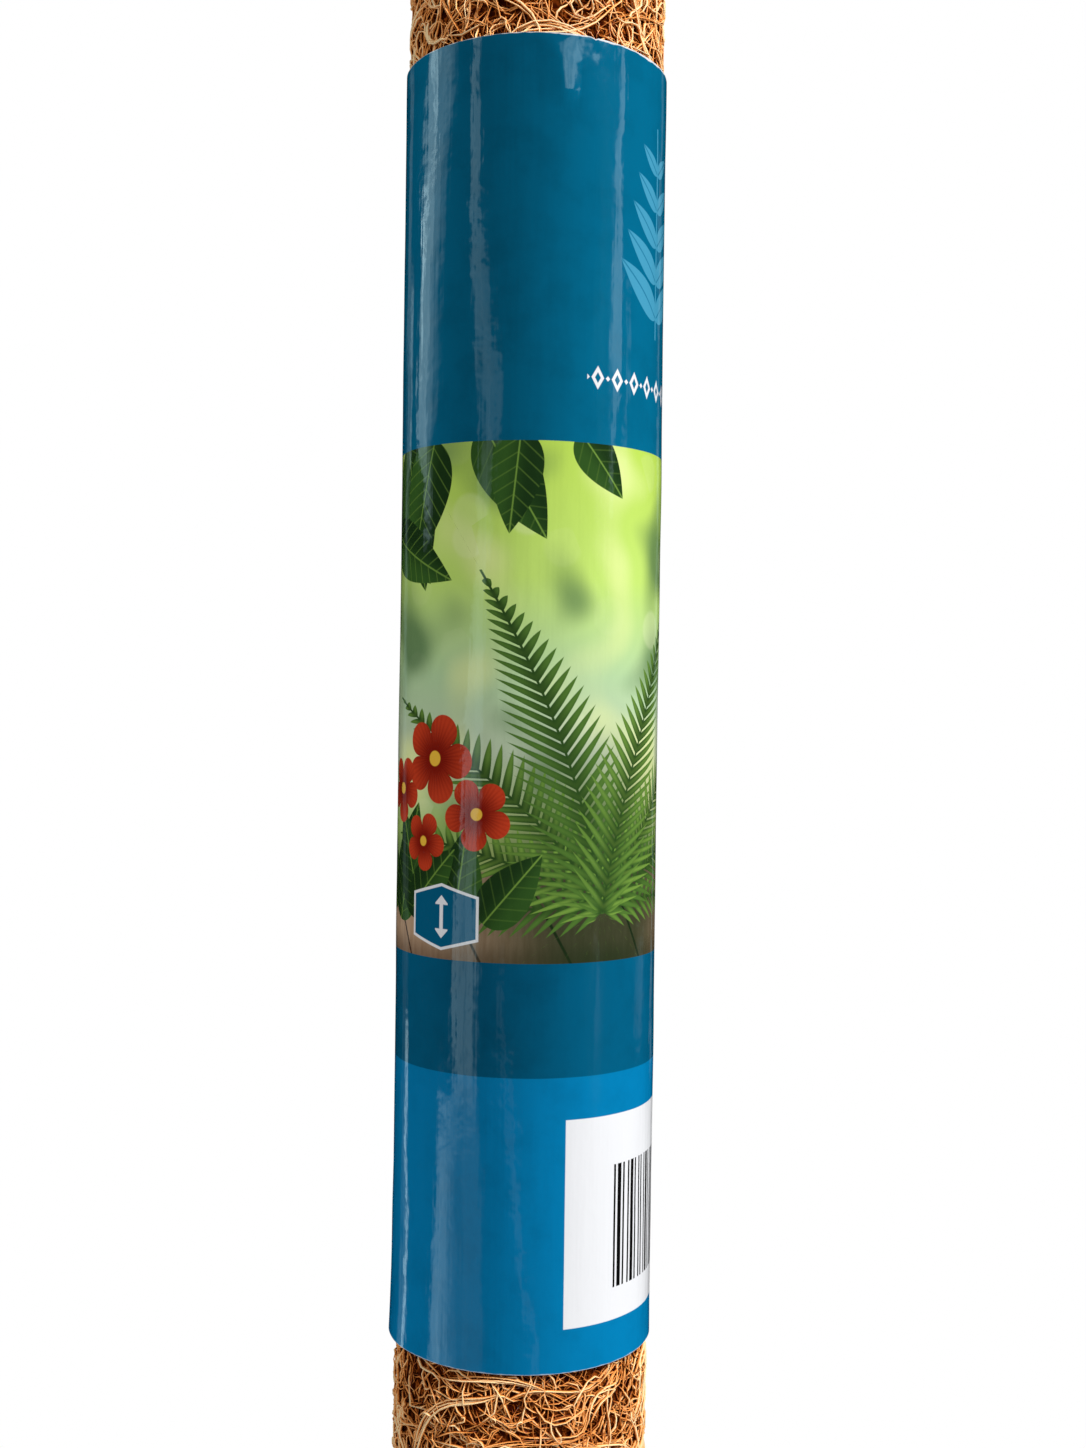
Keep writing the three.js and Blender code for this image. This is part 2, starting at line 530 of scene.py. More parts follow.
def coir_core(name, section):
    """The mass under the fibres: a closed profile carried round the axis.

    The profile goes up the outside, in over the top, down the bore and out under the bottom. Outside it
    stands at the core's radius plus the section's lumps, less a rounding at both edges, and its ends lie a
    little inside the cut faces.
    """
    bottom, top = span_of(f"{section}_coir_mat")
    middle = (bottom + top) / 2
    bottom, top = bottom + END_INSET, top - END_INSET
    rows, columns = 130, 112
    rounding, rounding_reach = 0.35 * MM, 1.5 * MM
    bore = COIR_RADIUS - MAT_THICKNESS
    inward = [bore + 4 * MM, bore + 2 * MM, bore]
    radius = np.concatenate([np.full(rows, CORE_RADIUS), inward, [bore], inward[::-1]])
    height = np.concatenate([np.linspace(bottom, top, rows), [top] * 3, [middle], [bottom] * 3])
    angle = full_turn(columns)
    lumps = lay_of(section)(angle[None, :], height[:, None])
    edge = rounding * (bell(height, top, rounding_reach) + bell(height, bottom, rounding_reach))
    lumps[rows:] = 0
    edge[rows:] = 0
    points = around(angle[None, :], radius[:, None] + lumps - edge[:, None], height[:, None])
    return new_object(name, points, grid_quads(len(height), columns, True, True))


def fibre_mesh(name, points, normals, radius, tone, depth):
    """Tapered three-sided tubes along many centre lines at once.

    points and normals have the shape (fibres, steps, 3). Each ring stands in the plane of the normal and of
    the tangent's cross product with it, with one corner along the normal, and both ends are closed. A radius
    follows the root of half a sine wave, down to about a third at the ends. depth is a centre line's share of
    the fibre layer, and the finish paints shade by it. A fibre's back stands above that and its flanks below,
    by its own size times FLANK_SHADE, which paints shade on the flanks and a highlight along the back.
    """
    fibres, steps = points.shape[:2]
    tangent = np.gradient(points, axis=1)
    tangent /= np.linalg.norm(tangent, axis=-1, keepdims=True) + TINY
    side = np.cross(tangent, normals)
    side /= np.linalg.norm(side, axis=-1, keepdims=True) + TINY
    corner = np.radians([90.0, 210.0, 330.0])
    taper = 0.35 + 0.65 * np.sin(np.pi * np.linspace(0.04, 0.96, steps)) ** 0.5
    size = (radius[:, None] * taper)[..., None, None]
    ring = points[:, :, None] + size * (
        np.cos(corner)[:, None] * side[:, :, None] + np.sin(corner)[:, None] * normals[:, :, None])
    start = np.arange(fibres)[:, None, None] * steps * 3
    step = np.arange(steps - 1)[None, :, None] * 3
    this = np.arange(3)[None, None, :]
    following = (this + 1) % 3
    base = start + step
    quads = np.stack(np.broadcast_arrays(
        base + this, base + 3 + this, base + 3 + following, base + following), axis=-1).reshape(-1, 4)
    first = start[:, 0] + np.array([[0, 1, 2]])
    last = start[:, 0] + (steps - 1) * 3 + np.array([[2, 1, 0]])
    # Painted shade: the flanks' share sinks below depth and the back's rises above it
    share = depth[..., None] + FLANK_SHADE * size[..., 0] * np.sin(corner) / FIBRE_LAYER
    values = {"tone": np.repeat(tone, steps * 3), "depth": share}
    return new_object(name, ring, quads, np.concatenate([first, last]), values=values)


# Points along a strand, along a cut fibre and along the course of a bundle
STRAND_STEPS = 16
END_STEPS = 6
COURSE_STEPS = 49

# Bundles of strands: mean and spread of their lean and range of their swing in degrees, turns, how far the
# strands part, and range of their rise in millimetres
BUNDLE_LEAN = (25, 16)
BUNDLE_SWING = (15, 50)
BUNDLE_TURNS = 1.7
BUNDLE_SPREAD = 0.7 * MM
STRAND_RISE = (0.8, 1.8)

# Loose fibres: points along one, length against the curl length, range of its swing in degrees, turns, spread
# of its bend in degrees, range of its rise in millimetres, and usual tone
LOOSE_FIBRES = {
    "curls": (9, 1.0, (25, 75), 0.9, 150, (0.4, 1.7), 0.5),
    "matting": (5, 1.2, (20, 60), 0.7, 0, (0.3, 1.1), 0.42),
}

SCATTER_STEPS = (0.7548776662, 0.5698402910)


def wander(rng, count, steps, length, heading, swing, turns, bend=0.0):
    """Running sums of steps whose heading sways: two offsets per point, along and across, from each start.

    The heading is a start value plus bend * share plus swing * sin(turns * 2 pi * share + phase), with each
    fibre's own phase and speed.
    """
    share = np.linspace(0, 1, steps)
    speed = rng.uniform(0.5, 1.5, (count, 1)) * turns
    phase = rng.uniform(0, 2 * np.pi, (count, 1))
    course = heading[:, None] + bend * share + swing[:, None] * np.sin(2 * np.pi * speed * share + phase)
    step = (length / (steps - 1))[:, None]
    along = np.cumsum(step * np.cos(course), axis=1)
    across = np.cumsum(step * np.sin(course), axis=1)
    return along - along[:, :1], across - across[:, :1]


def bundled(rng, along, across, members, spread):
    """Strands that share the courses of bundles.

    Each strand covers its own stretch of its bundle's course, read off between the course's points, and
    stands off to its side by spread * sin(speed * share + phase), so strands part and meet again.
    """
    bundles, fine = along.shape
    shape = (bundles, members, 1)
    start = rng.uniform(0, 0.3, shape)
    share = start + (rng.uniform(0.7, 1.0, shape) - start) * np.linspace(0, 1, STRAND_STEPS)
    low = np.minimum((share * (fine - 1)).astype(int), fine - 2)
    part = share * (fine - 1) - low
    bundle = np.arange(bundles)[:, None, None]
    steps = [line[bundle, low + 1] - line[bundle, low] for line in (along, across)]
    size = np.hypot(*steps) + TINY
    aside = spread * rng.uniform(0.3, 1.0, shape) * np.sin(
        2 * np.pi * rng.uniform(0.4, 1.4, shape) * share + rng.uniform(0, 2 * np.pi, shape))
    moved_along = along[bundle, low] + part * steps[0] - aside * steps[1] / size
    moved_across = across[bundle, low] + part * steps[1] + aside * steps[0] / size
    return moved_along.reshape(-1, STRAND_STEPS), moved_across.reshape(-1, STRAND_STEPS)


def scattered(count, first):
    """Two even scatters of shares from 0 to 1: the fractions of whole multiples of two irrational steps."""
    index = first + np.arange(count)
    return tuple((index * step) % 1.0 for step in SCATTER_STEPS)


def wrapped_fibres(name, rng, section, along, across, turn, level, radius, rise, tone):
    """Fibres that lie on the outside of a section.

    Each runs over the unrolled coir from its start, given as shares of a turn and of the section's length, is
    mirrored back at the section's ends and rides on the section's lumps. Its lift is an arch that sinks both
    ends into the core, times a slow weave.
    """
    bottom, top = span_of(f"{section}_coir_mat")
    count, steps = along.shape
    margin = 0.45 * MM
    angle = 2 * np.pi * turn[:, None] + along / COIR_RADIUS
    reach = top - bottom - 2 * margin
    climb = reach - np.abs(reach - np.abs(level[:, None] * reach + across))
    height = bottom + margin + climb
    share = np.linspace(0, 1, steps)
    arch = np.sin(np.pi * share) ** 0.5
    weave = 0.7 + 0.3 * np.sin(2 * np.pi * share * rng.uniform(0.5, 2.5, (count, 1))
                               + rng.uniform(0, 2 * np.pi, (count, 1)))
    sink = 0.3 * MM
    lift = -sink + (sink + rise[:, None] * weave) * arch
    distance = CORE_RADIUS + lay_of(section)(angle, height) + lift
    distance = np.minimum(distance, FIBRE_LIMIT - radius[:, None])
    # depth is the share of the fibre layer, and the finish paints shade by it: deeper fibres darker
    depth = (distance - CORE_RADIUS) / FIBRE_LAYER
    points = around(angle, distance, height)
    return fibre_mesh(name, points, outward(angle), radius, np.clip(tone, 0, 1), depth)


def vary(rng, count, usual, spread):
    """Positive sizes scattered about a usual one by a share of it."""
    return usual * np.clip(rng.normal(1, spread, count), 1 - 2 * spread, 1 + 2 * spread)


def strand_bundles(name, rng, section, settings, count, first):
    """Long strands wound round a section both ways in loose bundles."""
    members = settings.bundle_strands
    heading = rng.choice((-1, 1), count) * np.radians(rng.normal(*BUNDLE_LEAN, count))
    length = vary(rng, count, settings.strand_length, 0.3)
    swing = np.radians(rng.uniform(*BUNDLE_SWING, count))
    along, across = wander(rng, count, COURSE_STEPS, length, heading, swing, BUNDLE_TURNS)
    along, across = bundled(rng, along, across, members, BUNDLE_SPREAD)
    turn, level = (np.repeat(share, members) for share in scattered(count, first))
    total = count * members
    tone = np.repeat(rng.normal(0.5, 0.08, count), members) + rng.normal(0, 0.14, total)
    return wrapped_fibres(name, rng, section, along, across, turn, level,
                          vary(rng, total, settings.strand_radius, 0.3),
                          rng.uniform(*STRAND_RISE, total) * MM, tone)


def loose_fibres(name, rng, section, settings, count, first, kind):
    """Short fibres that lie every way: curls between the strands, and straighter matting under them."""
    steps, share, swing, turns, spread, rise, tone = LOOSE_FIBRES[kind]
    length = vary(rng, count, share * settings.curl_length, 0.4)
    heading = rng.uniform(0, 2 * np.pi, count)
    swing = np.radians(rng.uniform(*swing, count))
    bend = np.radians(rng.normal(0, spread, (count, 1))) if spread else 0.0
    along, across = wander(rng, count, steps, length, heading, swing, turns, bend)
    turn, level = scattered(count, first)
    return wrapped_fibres(name, rng, section, along, across, turn, level,
                          vary(rng, count, settings.curl_radius, 0.3),
                          rng.uniform(*rise, count) * MM, rng.normal(tone, 0.2, count))


class MOSSPOLE_OT_coir_mats(bpy.types.Operator):
    """Cover both sections in coir"""

    bl_idname = "mosspole.coir_mats"
    bl_label = "Coir Mats"

    def execute(self, context):
        settings = context.scene.mosspole_coir
        fibre = coir_fibre_finish(settings)
        core = coir_core_finish(settings)
        loose = {"curls": (settings.curls, 3), "matting": (settings.matting, 2)}
        for section in SECTIONS:
            body = f"{section}_section"
            mass = coir_core(f"{section}_coir_core", section)
            dress(mass, body, [core], [f"{section}_coir_mat"])
            rng = np.random.default_rng(FIBRE_SEED + SECTIONS.index(section))
            strands = strand_bundles(f"{section}_coir_strands_1", rng, section, settings, settings.bundles, 0)
            dress(strands, body, [fibre])
            for kind, (total, parts) in loose.items():
                count = total // parts
                for part in range(parts):
                    name = f"{section}_coir_{kind}_{part + 1}"
                    fibres = loose_fibres(name, rng, section, settings, count, part * count, kind)
                    dress(fibres, body, [fibre])
        return {"FINISHED"}


# Cut fibres on an end: range of their swing in degrees, and turns
END_SWING = (20, 80)
END_TURNS = 0.7


def end_fibres(name, rng, settings, inner, outer, level, facing):
    """Cut fibres that lie on a ring-shaped end face, with the face's outward side up (+1) or down (-1).

    Each wanders over the face from a random start, round the axis and in or out, and is mirrored back at the
    ring's edges. It lies below the face by its own size and a share of the inset, deepest at its ends.
    """
    count = settings.end_fibres
    length = vary(rng, count, settings.end_length, 0.3)
    heading = rng.uniform(0, 2 * np.pi, count)
    swing = np.radians(rng.uniform(*END_SWING, count))
    along, across = wander(rng, count, END_STEPS, length, heading, swing, END_TURNS)
    start = np.sqrt(rng.uniform(inner ** 2, outer ** 2, count))[:, None]
    reach = outer - inner
    distance = outer - np.abs(reach - (start - inner + across) % (2 * reach))
    angle = rng.uniform(0, 2 * np.pi, count)[:, None] + along / start
    share = np.linspace(0, 1, END_STEPS)
    # depth sets how far each point sinks, and the finish also paints shade by it
    depth = rng.uniform(0.3, 1.0, (count, 1)) * (0.25 + 0.75 * np.sin(np.pi * share) ** 0.5)
    size = vary(rng, count, settings.curl_radius, 0.25)
    height = level - facing * (1.2 * END_INSET * (1 - depth) + 1.1 * size[:, None])
    normal = np.zeros((count, END_STEPS, 3))
    normal[..., 2] = facing
    tone = np.clip(rng.normal(0.45, 0.2, count), 0, 1)
    return fibre_mesh(name, around(angle, distance, height), normal, size, tone, depth)


RING_COLUMNS = 96


def ring_body(name, inner, outer, bottom, top, edge):
    """A straight ring with rounded edges: a closed profile carried round the axis.

    The profile's corners are quarter circles of the edge's radius between straight walls and flat ends.
    """
    quarter = np.linspace(0, np.pi / 2, 5)
    corners = ((outer - edge, top - edge, quarter),
               (inner + edge, top - edge, quarter + np.pi / 2),
               (inner + edge, bottom + edge, quarter + np.pi),
               (outer - edge, bottom + edge, quarter + 1.5 * np.pi))
    radius = np.concatenate([middle + edge * np.cos(turn) for middle, _, turn in corners])
    height = np.concatenate([level + edge * np.sin(turn) for _, level, turn in corners])
    points = around(full_turn(RING_COLUMNS)[None, :], radius[:, None], height[:, None])
    return new_object(name, points, grid_quads(len(radius), RING_COLUMNS, True, True))


FILLER_EDGE = 0.4 * MM
END_MARGIN = 0.2 * MM


class MOSSPOLE_OT_coir_fillers(bpy.types.Operator):
    """Pack loose coir round the core tubes and fray the cut ends"""

    bl_idname = "mosspole.coir_fillers"
    bl_label = "Coir Fillers and Ends"

    def execute(self, context):
        settings = context.scene.mosspole_coir
        fibre = bpy.data.materials["coir_fibre"]
        core = bpy.data.materials["coir_core"]
        for section in SECTIONS:
            body = f"{section}_section"
            rng = np.random.default_rng(END_SEED + SECTIONS.index(section))
            bottom, top = span_of(f"{section}_coir_filler")
            bore = TUBE_RADIUS + FIT_GAP
            packing = ring_body(f"{section}_filler_core", bore, FILLER_RADIUS,
                                bottom + END_INSET, top - END_INSET, FILLER_EDGE)
            dress(packing, body, [core], [f"{section}_coir_filler"])
            mat_bottom, mat_top = span_of(f"{section}_coir_mat")
            mat = (COIR_RADIUS - MAT_THICKNESS + END_MARGIN, CORE_RADIUS + END_MARGIN, "coir_mat")
            filler = (bore + END_MARGIN, FILLER_RADIUS - END_MARGIN, "coir_filler")
            rings = {"mat_top": (mat, mat_top, 1), "mat_bottom": (mat, mat_bottom, -1),
                     "filler_top": (filler, top, 1), "filler_bottom": (filler, bottom, -1)}
            for place, ((inner, outer, slot), level, facing) in rings.items():
                ends = end_fibres(f"{section}_{place}_fibres", rng, settings, inner, outer, level, facing)
                dress(ends, body, [fibre])
        return {"FINISHED"}


TUBE_EDGE = 0.5 * MM


def tube_finish():
    """Extruded plastic pipe: off-white, faintly drawn along its length."""
    graph = Graph("core_tube_plastic")
    drawn = graph.noise(graph.stretched(graph.place(), (1.0, 1.0, 0.02)), 900.0, 2.0)
    cloud = graph.noise(graph.place(), 60.0, 3.0)
    colour = graph.mix(drawn, (0.62, 0.61, 0.56), (0.74, 0.73, 0.68))
    colour = graph.mix(graph.remap(cloud, 0.45, 0.75, 0.0, 0.35), colour, (0.5, 0.45, 0.37))
    graph.bump(drawn, 0.3, 0.05 * MM)
    return graph.finish(colour, graph.remap(cloud, 0.3, 0.7, 0.38, 0.55))


class MOSSPOLE_OT_core_tubes(bpy.types.Operator):
    """Make the plastic tubes in the middle of the sections"""

    bl_idname = "mosspole.core_tubes"
    bl_label = "Core Tubes"

    def execute(self, context):
        plastic = tube_finish()
        for section in SECTIONS:
            bottom, top = span_of(f"{section}_core_tube")
            tube = ring_body(f"{section}_tube", TUBE_RADIUS - TUBE_WALL, TUBE_RADIUS, bottom, top, TUBE_EDGE)
            dress(tube, f"{section}_section", [plastic], [f"{section}_core_tube"])
        return {"FINISHED"}


def turned_body(name, profile, surface=None, columns=72):
    """A solid of revolution about Z from a profile of radius and height that starts and ends near the axis.

    surface may change the radius: it takes angle, height and radius and returns the new radius. The two ends
    are closed by fans to points on the axis.
    """
    radius, height = np.asarray(profile, dtype=float).T
    angle = full_turn(columns)
    distance = np.broadcast_to(radius[:, None], (len(radius), columns))
    if surface is not None:
        distance = surface(angle[None, :], height[:, None], distance)
    rings = around(angle[None, :], distance, height[:, None]).reshape(-1, 3)
    points = np.concatenate([rings, [[0, 0, height[0]], [0, 0, height[-1]]]])
    column = np.arange(columns)
    following = (column + 1) % columns
    last = (len(radius) - 1) * columns
    first_fan = np.stack([following, column, np.full(columns, len(rings))], axis=-1)
    last_fan = np.stack([last + column, last + following, np.full(columns, len(rings) + 1)], axis=-1)
    quads = grid_quads(len(radius), columns, close_columns=True)
    return new_object(name, points, quads, np.concatenate([first_fan, last_fan]))


WHITTLED_CUTS = 7
DOWEL_GRAIN = 0.03 * MM


def whittled(seed, tip):
    """The radius of a stake with a whittled point: the least of the dowel and of flat cuts round its tip.

    A cut's distance from the axis grows with the height above the tip, so a point's radius on it is that
    distance over the cosine of the angle to the cut's own direction.
    """
    rng = np.random.default_rng(seed)
    astray = rng.uniform(-0.12, 0.12, WHITTLED_CUTS)
    facing = (np.arange(WHITTLED_CUTS) + astray) * 2 * np.pi / WHITTLED_CUTS
    slope = (STAKE_RADIUS - STAKE_TIP_RADIUS) / STAKE_POINT * rng.uniform(0.9, 1.05, WHITTLED_CUTS)
    grain = Waves(rng, 8, (3, 14), (40 * MM, 160 * MM), DOWEL_GRAIN)

    def surface(angle, height, radius):
        away = np.cos(angle[..., None] - facing)
        flat = (0.85 * STAKE_TIP_RADIUS + slope * (height[..., None] - tip)) / np.maximum(away, 0.3)
        return np.minimum(radius + grain(angle, height) - DOWEL_GRAIN, flat.min(-1))

    return surface


def wood_finish():
    """Raw dowel: pale wood with long grain, fine dark pores and a broad figure."""
    graph = Graph("stake_wood")
    place = graph.place()
    grain = graph.noise(graph.stretched(place, (1.0, 1.0, 0.03)), 420.0, 4.0, 0.6)
    pores = graph.noise(graph.stretched(place, (1.0, 1.0, 0.05)), 1900.0, 2.0)
    figure = graph.noise(graph.stretched(place, (1.0, 0.25, 0.02)), 260.0, 2.0)
    colour = graph.ramp(grain, (
        (0.25, (0.42, 0.24, 0.1)), (0.5, (0.62, 0.41, 0.2)), (0.75, (0.76, 0.55, 0.3))))
    colour = graph.mix(graph.remap(figure, 0.45, 0.65, 0.0, 0.5), colour, (0.5, 0.3, 0.13))
    colour = graph.mix(graph.remap(pores, 0.58, 0.72, 0.0, 0.55), colour, (0.25, 0.13, 0.05))
    graph.bump(grain + pores, 0.35, 0.12 * MM)
    return graph.finish(colour, graph.remap(grain, 0.3, 0.7, 0.62, 0.8), specular_ior_level=0.3)


STAKE_CHAMFER = 1 * MM
POINT_ROWS = 48
SHAFT_ROWS = 60


class MOSSPOLE_OT_stakes(bpy.types.Operator):
    """Turn the two wooden stakes and whittle their points"""

    bl_idname = "mosspole.stakes"
    bl_label = "Stakes"

    def execute(self, context):
        wood = wood_finish()
        stakes = {"ground_stake": "lower_section", "connecting_stake": "joining_stake"}
        for seed, (node, body) in enumerate(stakes.items(), STAKE_SEED):
            bottom, top = span_of(node)
            rise = np.linspace(bottom, bottom + 1.3 * STAKE_POINT, POINT_ROWS)
            shaft = np.linspace(bottom + 1.35 * STAKE_POINT, top - STAKE_CHAMFER, SHAFT_ROWS)
            profile = [(STAKE_RADIUS, level) for level in (*rise, *shaft)]
            profile.append((STAKE_RADIUS - STAKE_CHAMFER, top))
            stake = turned_body(f"{node}_dowel", profile, whittled(seed, bottom))
            dress(stake, body, [wood], [node])
        return {"FINISHED"}


PIN_EDGE = 0.4 * MM
PIN_COLUMNS = 32


def steel_finish():
    """Plain drawn steel: fine lines along the pin and a little dull staining."""
    graph = Graph("stop_pin_steel")
    lines = graph.noise(graph.stretched(graph.place(), (0.03, 1.0, 1.0)), 3000.0, 2.0)
    stain = graph.noise(graph.place(), 500.0, 3.0)
    colour = graph.mix(graph.remap(stain, 0.45, 0.7, 0.0, 0.6), (0.42, 0.42, 0.43), (0.26, 0.23, 0.2))
    return graph.finish(colour, graph.remap(lines, 0.3, 0.7, 0.25, 0.45), metallic=1.0)


class MOSSPOLE_OT_stop_pins(bpy.types.Operator):
    """Make the steel pins that stop the stakes"""

    bl_idname = "mosspole.stop_pins"
    bl_label = "Stop Pins"

    def execute(self, context):
        steel = steel_finish()
        for section in SECTIONS:
            node = f"{section}_stop_pin"
            low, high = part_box(node)
            half = (high.x - low.x) / 2
            profile = [(PIN_RADIUS - PIN_EDGE, -half), (PIN_RADIUS, -half + PIN_EDGE),
                       (PIN_RADIUS, half - PIN_EDGE), (PIN_RADIUS - PIN_EDGE, half)]
            pin = turned_body(f"{section}_pin", profile, columns=PIN_COLUMNS)
            pin.data.transform(Matrix.Translation((low + high) / 2) @ Matrix.Rotation(math.pi / 2, 4, "Y"))
            dress(pin, f"{section}_section", [steel], [node])
        return {"FINISHED"}


# The crease under the sleeve's top edge. Its lean is a fall over a width. In millimetres: the widths of its
# flanks, and the drop below the edge over which it runs out.
CREASE_ANGLE = math.radians(12.8)
CREASE_LEAN = 0.165
LEFT_FLANK = 5.0
RIGHT_FLANK = 1.6
CREASE_FOOT = (11.4, 12.4)

# The corner that stands off, and where the sheet climbs over its own edge
FLARE = 0.5 * MM
FLARE_ANGLE = math.radians(-78)
FLARE_WIDTH = math.radians(24)
FLARE_HEIGHT = 9 * MM
LAP_GLUE = 0.04 * MM
LAP_CLIMB = (math.pi - LAP_HALF_ANGLE - math.radians(7), math.pi - LAP_HALF_ANGLE - math.radians(1))


def sleeve_swell(angle, height):
    """How far the sheet stands off its round.

    Slow and quick waves, a crease under the top edge, a flare at the lower left corner and the step where
    the sheet laps over itself. The crease is the least of three planes: a slow left flank, a flat facet that
    leans right and up, and a steep right flank. It ends in a foot, and a groove like a V crosses it near the
    edge, where a small dent lies to its right.
    """
    rng = np.random.default_rng(SLEEVE_SEED)
    slow = Waves(rng, 8, (2, 7), (60 * MM, 160 * MM), 0.05 * MM)
    quick = Waves(rng, 10, (6, 14), (18 * MM, 60 * MM), 0.028 * MM)
    drop = (SLEEVE_LENGTH - height) / MM
    across = (angle - CREASE_ANGLE) * SLEEVE_RADIUS / MM
    # The facet's two borders and the height of its left one, as they run down from the edge
    left = -2.0 + 0.125 * drop + 0.12 * np.sin(1.7 * drop)
    right = 1.3 - 0.05 * drop + 0.15 * np.sin(1.3 * drop + 2.0)
    peak = 0.55 + 0.036 * drop
    left_flank = peak * (across - left + LEFT_FLANK) / LEFT_FLANK
    facet = peak - CREASE_LEAN * (across - left)
    low = np.maximum(peak - CREASE_LEAN * (right - left), 0.0)
    right_flank = low * (right + RIGHT_FLANK - across) / RIGHT_FLANK
    fold = np.minimum(np.minimum(left_flank, facet), right_flank)
    groove = 0.05 * bell(drop, 3.7 - 1.1 * np.abs(across + 0.2), 0.5) * bell(across, 0.0, 2.2)
    dent = 0.13 * bell(across, 5.1 + 0.15 * drop, 0.45) * bell(drop, 2.3, 1.1)
    crease = MM * (np.maximum(fold, 0.0) * (1 - smooth_step(drop, *CREASE_FOOT)) - groove - dent)
    flare = FLARE * bell(angle, FLARE_ANGLE, FLARE_WIDTH) * np.exp(-height / FLARE_HEIGHT)
    lap = (SLEEVE_WALL + LAP_GLUE) * smooth_step(angle, *LAP_CLIMB)
    return slow(angle, height) + quick(angle, height) + crease + flare + lap


SLEEVE_COLUMNS = 280
SLEEVE_ROWS = 130
CUT_START = 0.97
CUT_WAVE = 0.15 * MM
NICK_DEPTH = 0.3 * MM
NICK_ANGLE = math.radians(24.4)
NICK_WIDTH = math.radians(1.0)
CROWDED_ANGLE = math.radians(17)
CROWDED_WIDTH = math.radians(12)
DEEPEST_DIP = -0.04 * MM


def sleeve_shell(name):
    """The printed sheet: its outside as a function of angle and height, with an inside one wall further in.

    The sheet runs a little more than once round, so its last stretch climbs over its first at the back. Each
    row is a loop, out along the print and back along the inside, and rims close it at the top and bottom.
    Columns stand closer about the crease and rows towards the top, where the cut edge wanders a little.
    """
    columns, rows = SLEEVE_COLUMNS, SLEEVE_ROWS
    loop = 2 * columns
    even = np.linspace(-1, 1, columns - 1) * SHEET_HALF_ANGLE
    spacing = 1 - 0.7 * bell(even, CROWDED_ANGLE, CROWDED_WIDTH)
    u = np.concatenate([[0], np.cumsum(spacing) / spacing.sum()])
    v = 1 - (1 - np.linspace(0, 1, rows)) ** 1.25
    angle = ((2 * u - 1) * SHEET_HALF_ANGLE)[None, :]
    nick = NICK_DEPTH * bell(angle, NICK_ANGLE, NICK_WIDTH)
    wave = CUT_WAVE * np.sin(3 * angle + 1.0)
    height = v[:, None] * SLEEVE_LENGTH
    cut = np.maximum(v[:, None] - CUT_START, 0.0) / (1 - CUT_START) * (wave - nick)
    outside = SLEEVE_RADIUS + np.maximum(sleeve_swell(angle, height), DEEPEST_DIP)
    level = SLEEVE_BASE + height + cut
    loop_angle = np.concatenate([angle, angle[:, ::-1]], axis=1)
    loop_radius = np.concatenate([outside, outside[:, ::-1] - SLEEVE_WALL], axis=1)
    points = around(loop_angle, loop_radius, np.concatenate([level, level[:, ::-1]], axis=1))
    quads = grid_quads(rows, loop, close_columns=True)
    column = np.arange(columns - 1)
    back = loop - 1 - column
    bottom_rim = np.stack([column + 1, column, back, back - 1], axis=-1)
    top_rim = np.stack([column, column + 1, back - 1, back], axis=-1) + (rows - 1) * loop
    loop_u = np.concatenate([u, u[::-1]])
    uv = np.stack(np.broadcast_arrays(loop_u[None, :], v[:, None]), axis=-1).reshape(-1, 2)
    made = new_object(name, points, np.concatenate([quads, bottom_rim, top_rim]), uv=uv)
    printed = np.tile(np.arange(loop) < columns - 1, rows - 1)
    index = np.ones(len(made.data.polygons), dtype=np.int32)
    index[:len(printed)] = np.where(printed, 0, 1)
    made.data.polygons.foreach_set("material_index", index)
    edges = np.empty(2 * len(made.data.edges), dtype=np.int32)
    made.data.edges.foreach_get("vertices", edges)
    row, column = np.divmod(edges.reshape(-1, 2), loop)
    rim = (row[:, 0] == row[:, 1]) & np.isin(row[:, 0], (0, rows - 1))
    side = (column[:, 0] == column[:, 1]) & np.isin(column[:, 0], (0, columns - 1, columns, loop - 1))
    made.data.edges.foreach_set("use_edge_sharp", rim | side)
    return made


LEAF_SHADE = (0.008, 0.026, 0.008)
LEAF_GREEN = (0.04, 0.115, 0.02)
LEAF_LIGHT = (0.17, 0.31, 0.05)
BLOSSOM_RED = (0.56, 0.05, 0.016)
BLOSSOM_SHADE = (0.2, 0.008, 0.004)
POLLEN = (0.85, 0.5, 0.05)
PAPER_WHITE = (0.83, 0.84, 0.865)
INK_BLACK = (0.004, 0.004, 0.004)
SHADOW = (0.0, 0.0, 0.0)

# The print's layout in millimetres from the front centre of the sheet's lower edge
STRIPE_PANEL = {"left": 8.0, "right": 58.0, "bottom": 8.0, "top": 46.4}
SPRIG = {"base": (29.0, 192.0), "tall": 40.0, "ink": (0.07, 0.36, 0.55)}
LOZENGE_ROW = {"start": 10.2, "end": 54.2, "level": 182.4}
BADGE_CENTRE = (-16.8, 7.8)
BAND_BLUR = 0.05

# Painted shade on the inks at the front: where, how wide, and by how much in the dark bands and in the light
# one
FRONT_SHADE_CENTRE = -6.0
FRONT_SHADE_WIDTH = 13.0
DARK_BAND_SHADE = 0.25
LIGHT_BAND_SHADE = 0.15

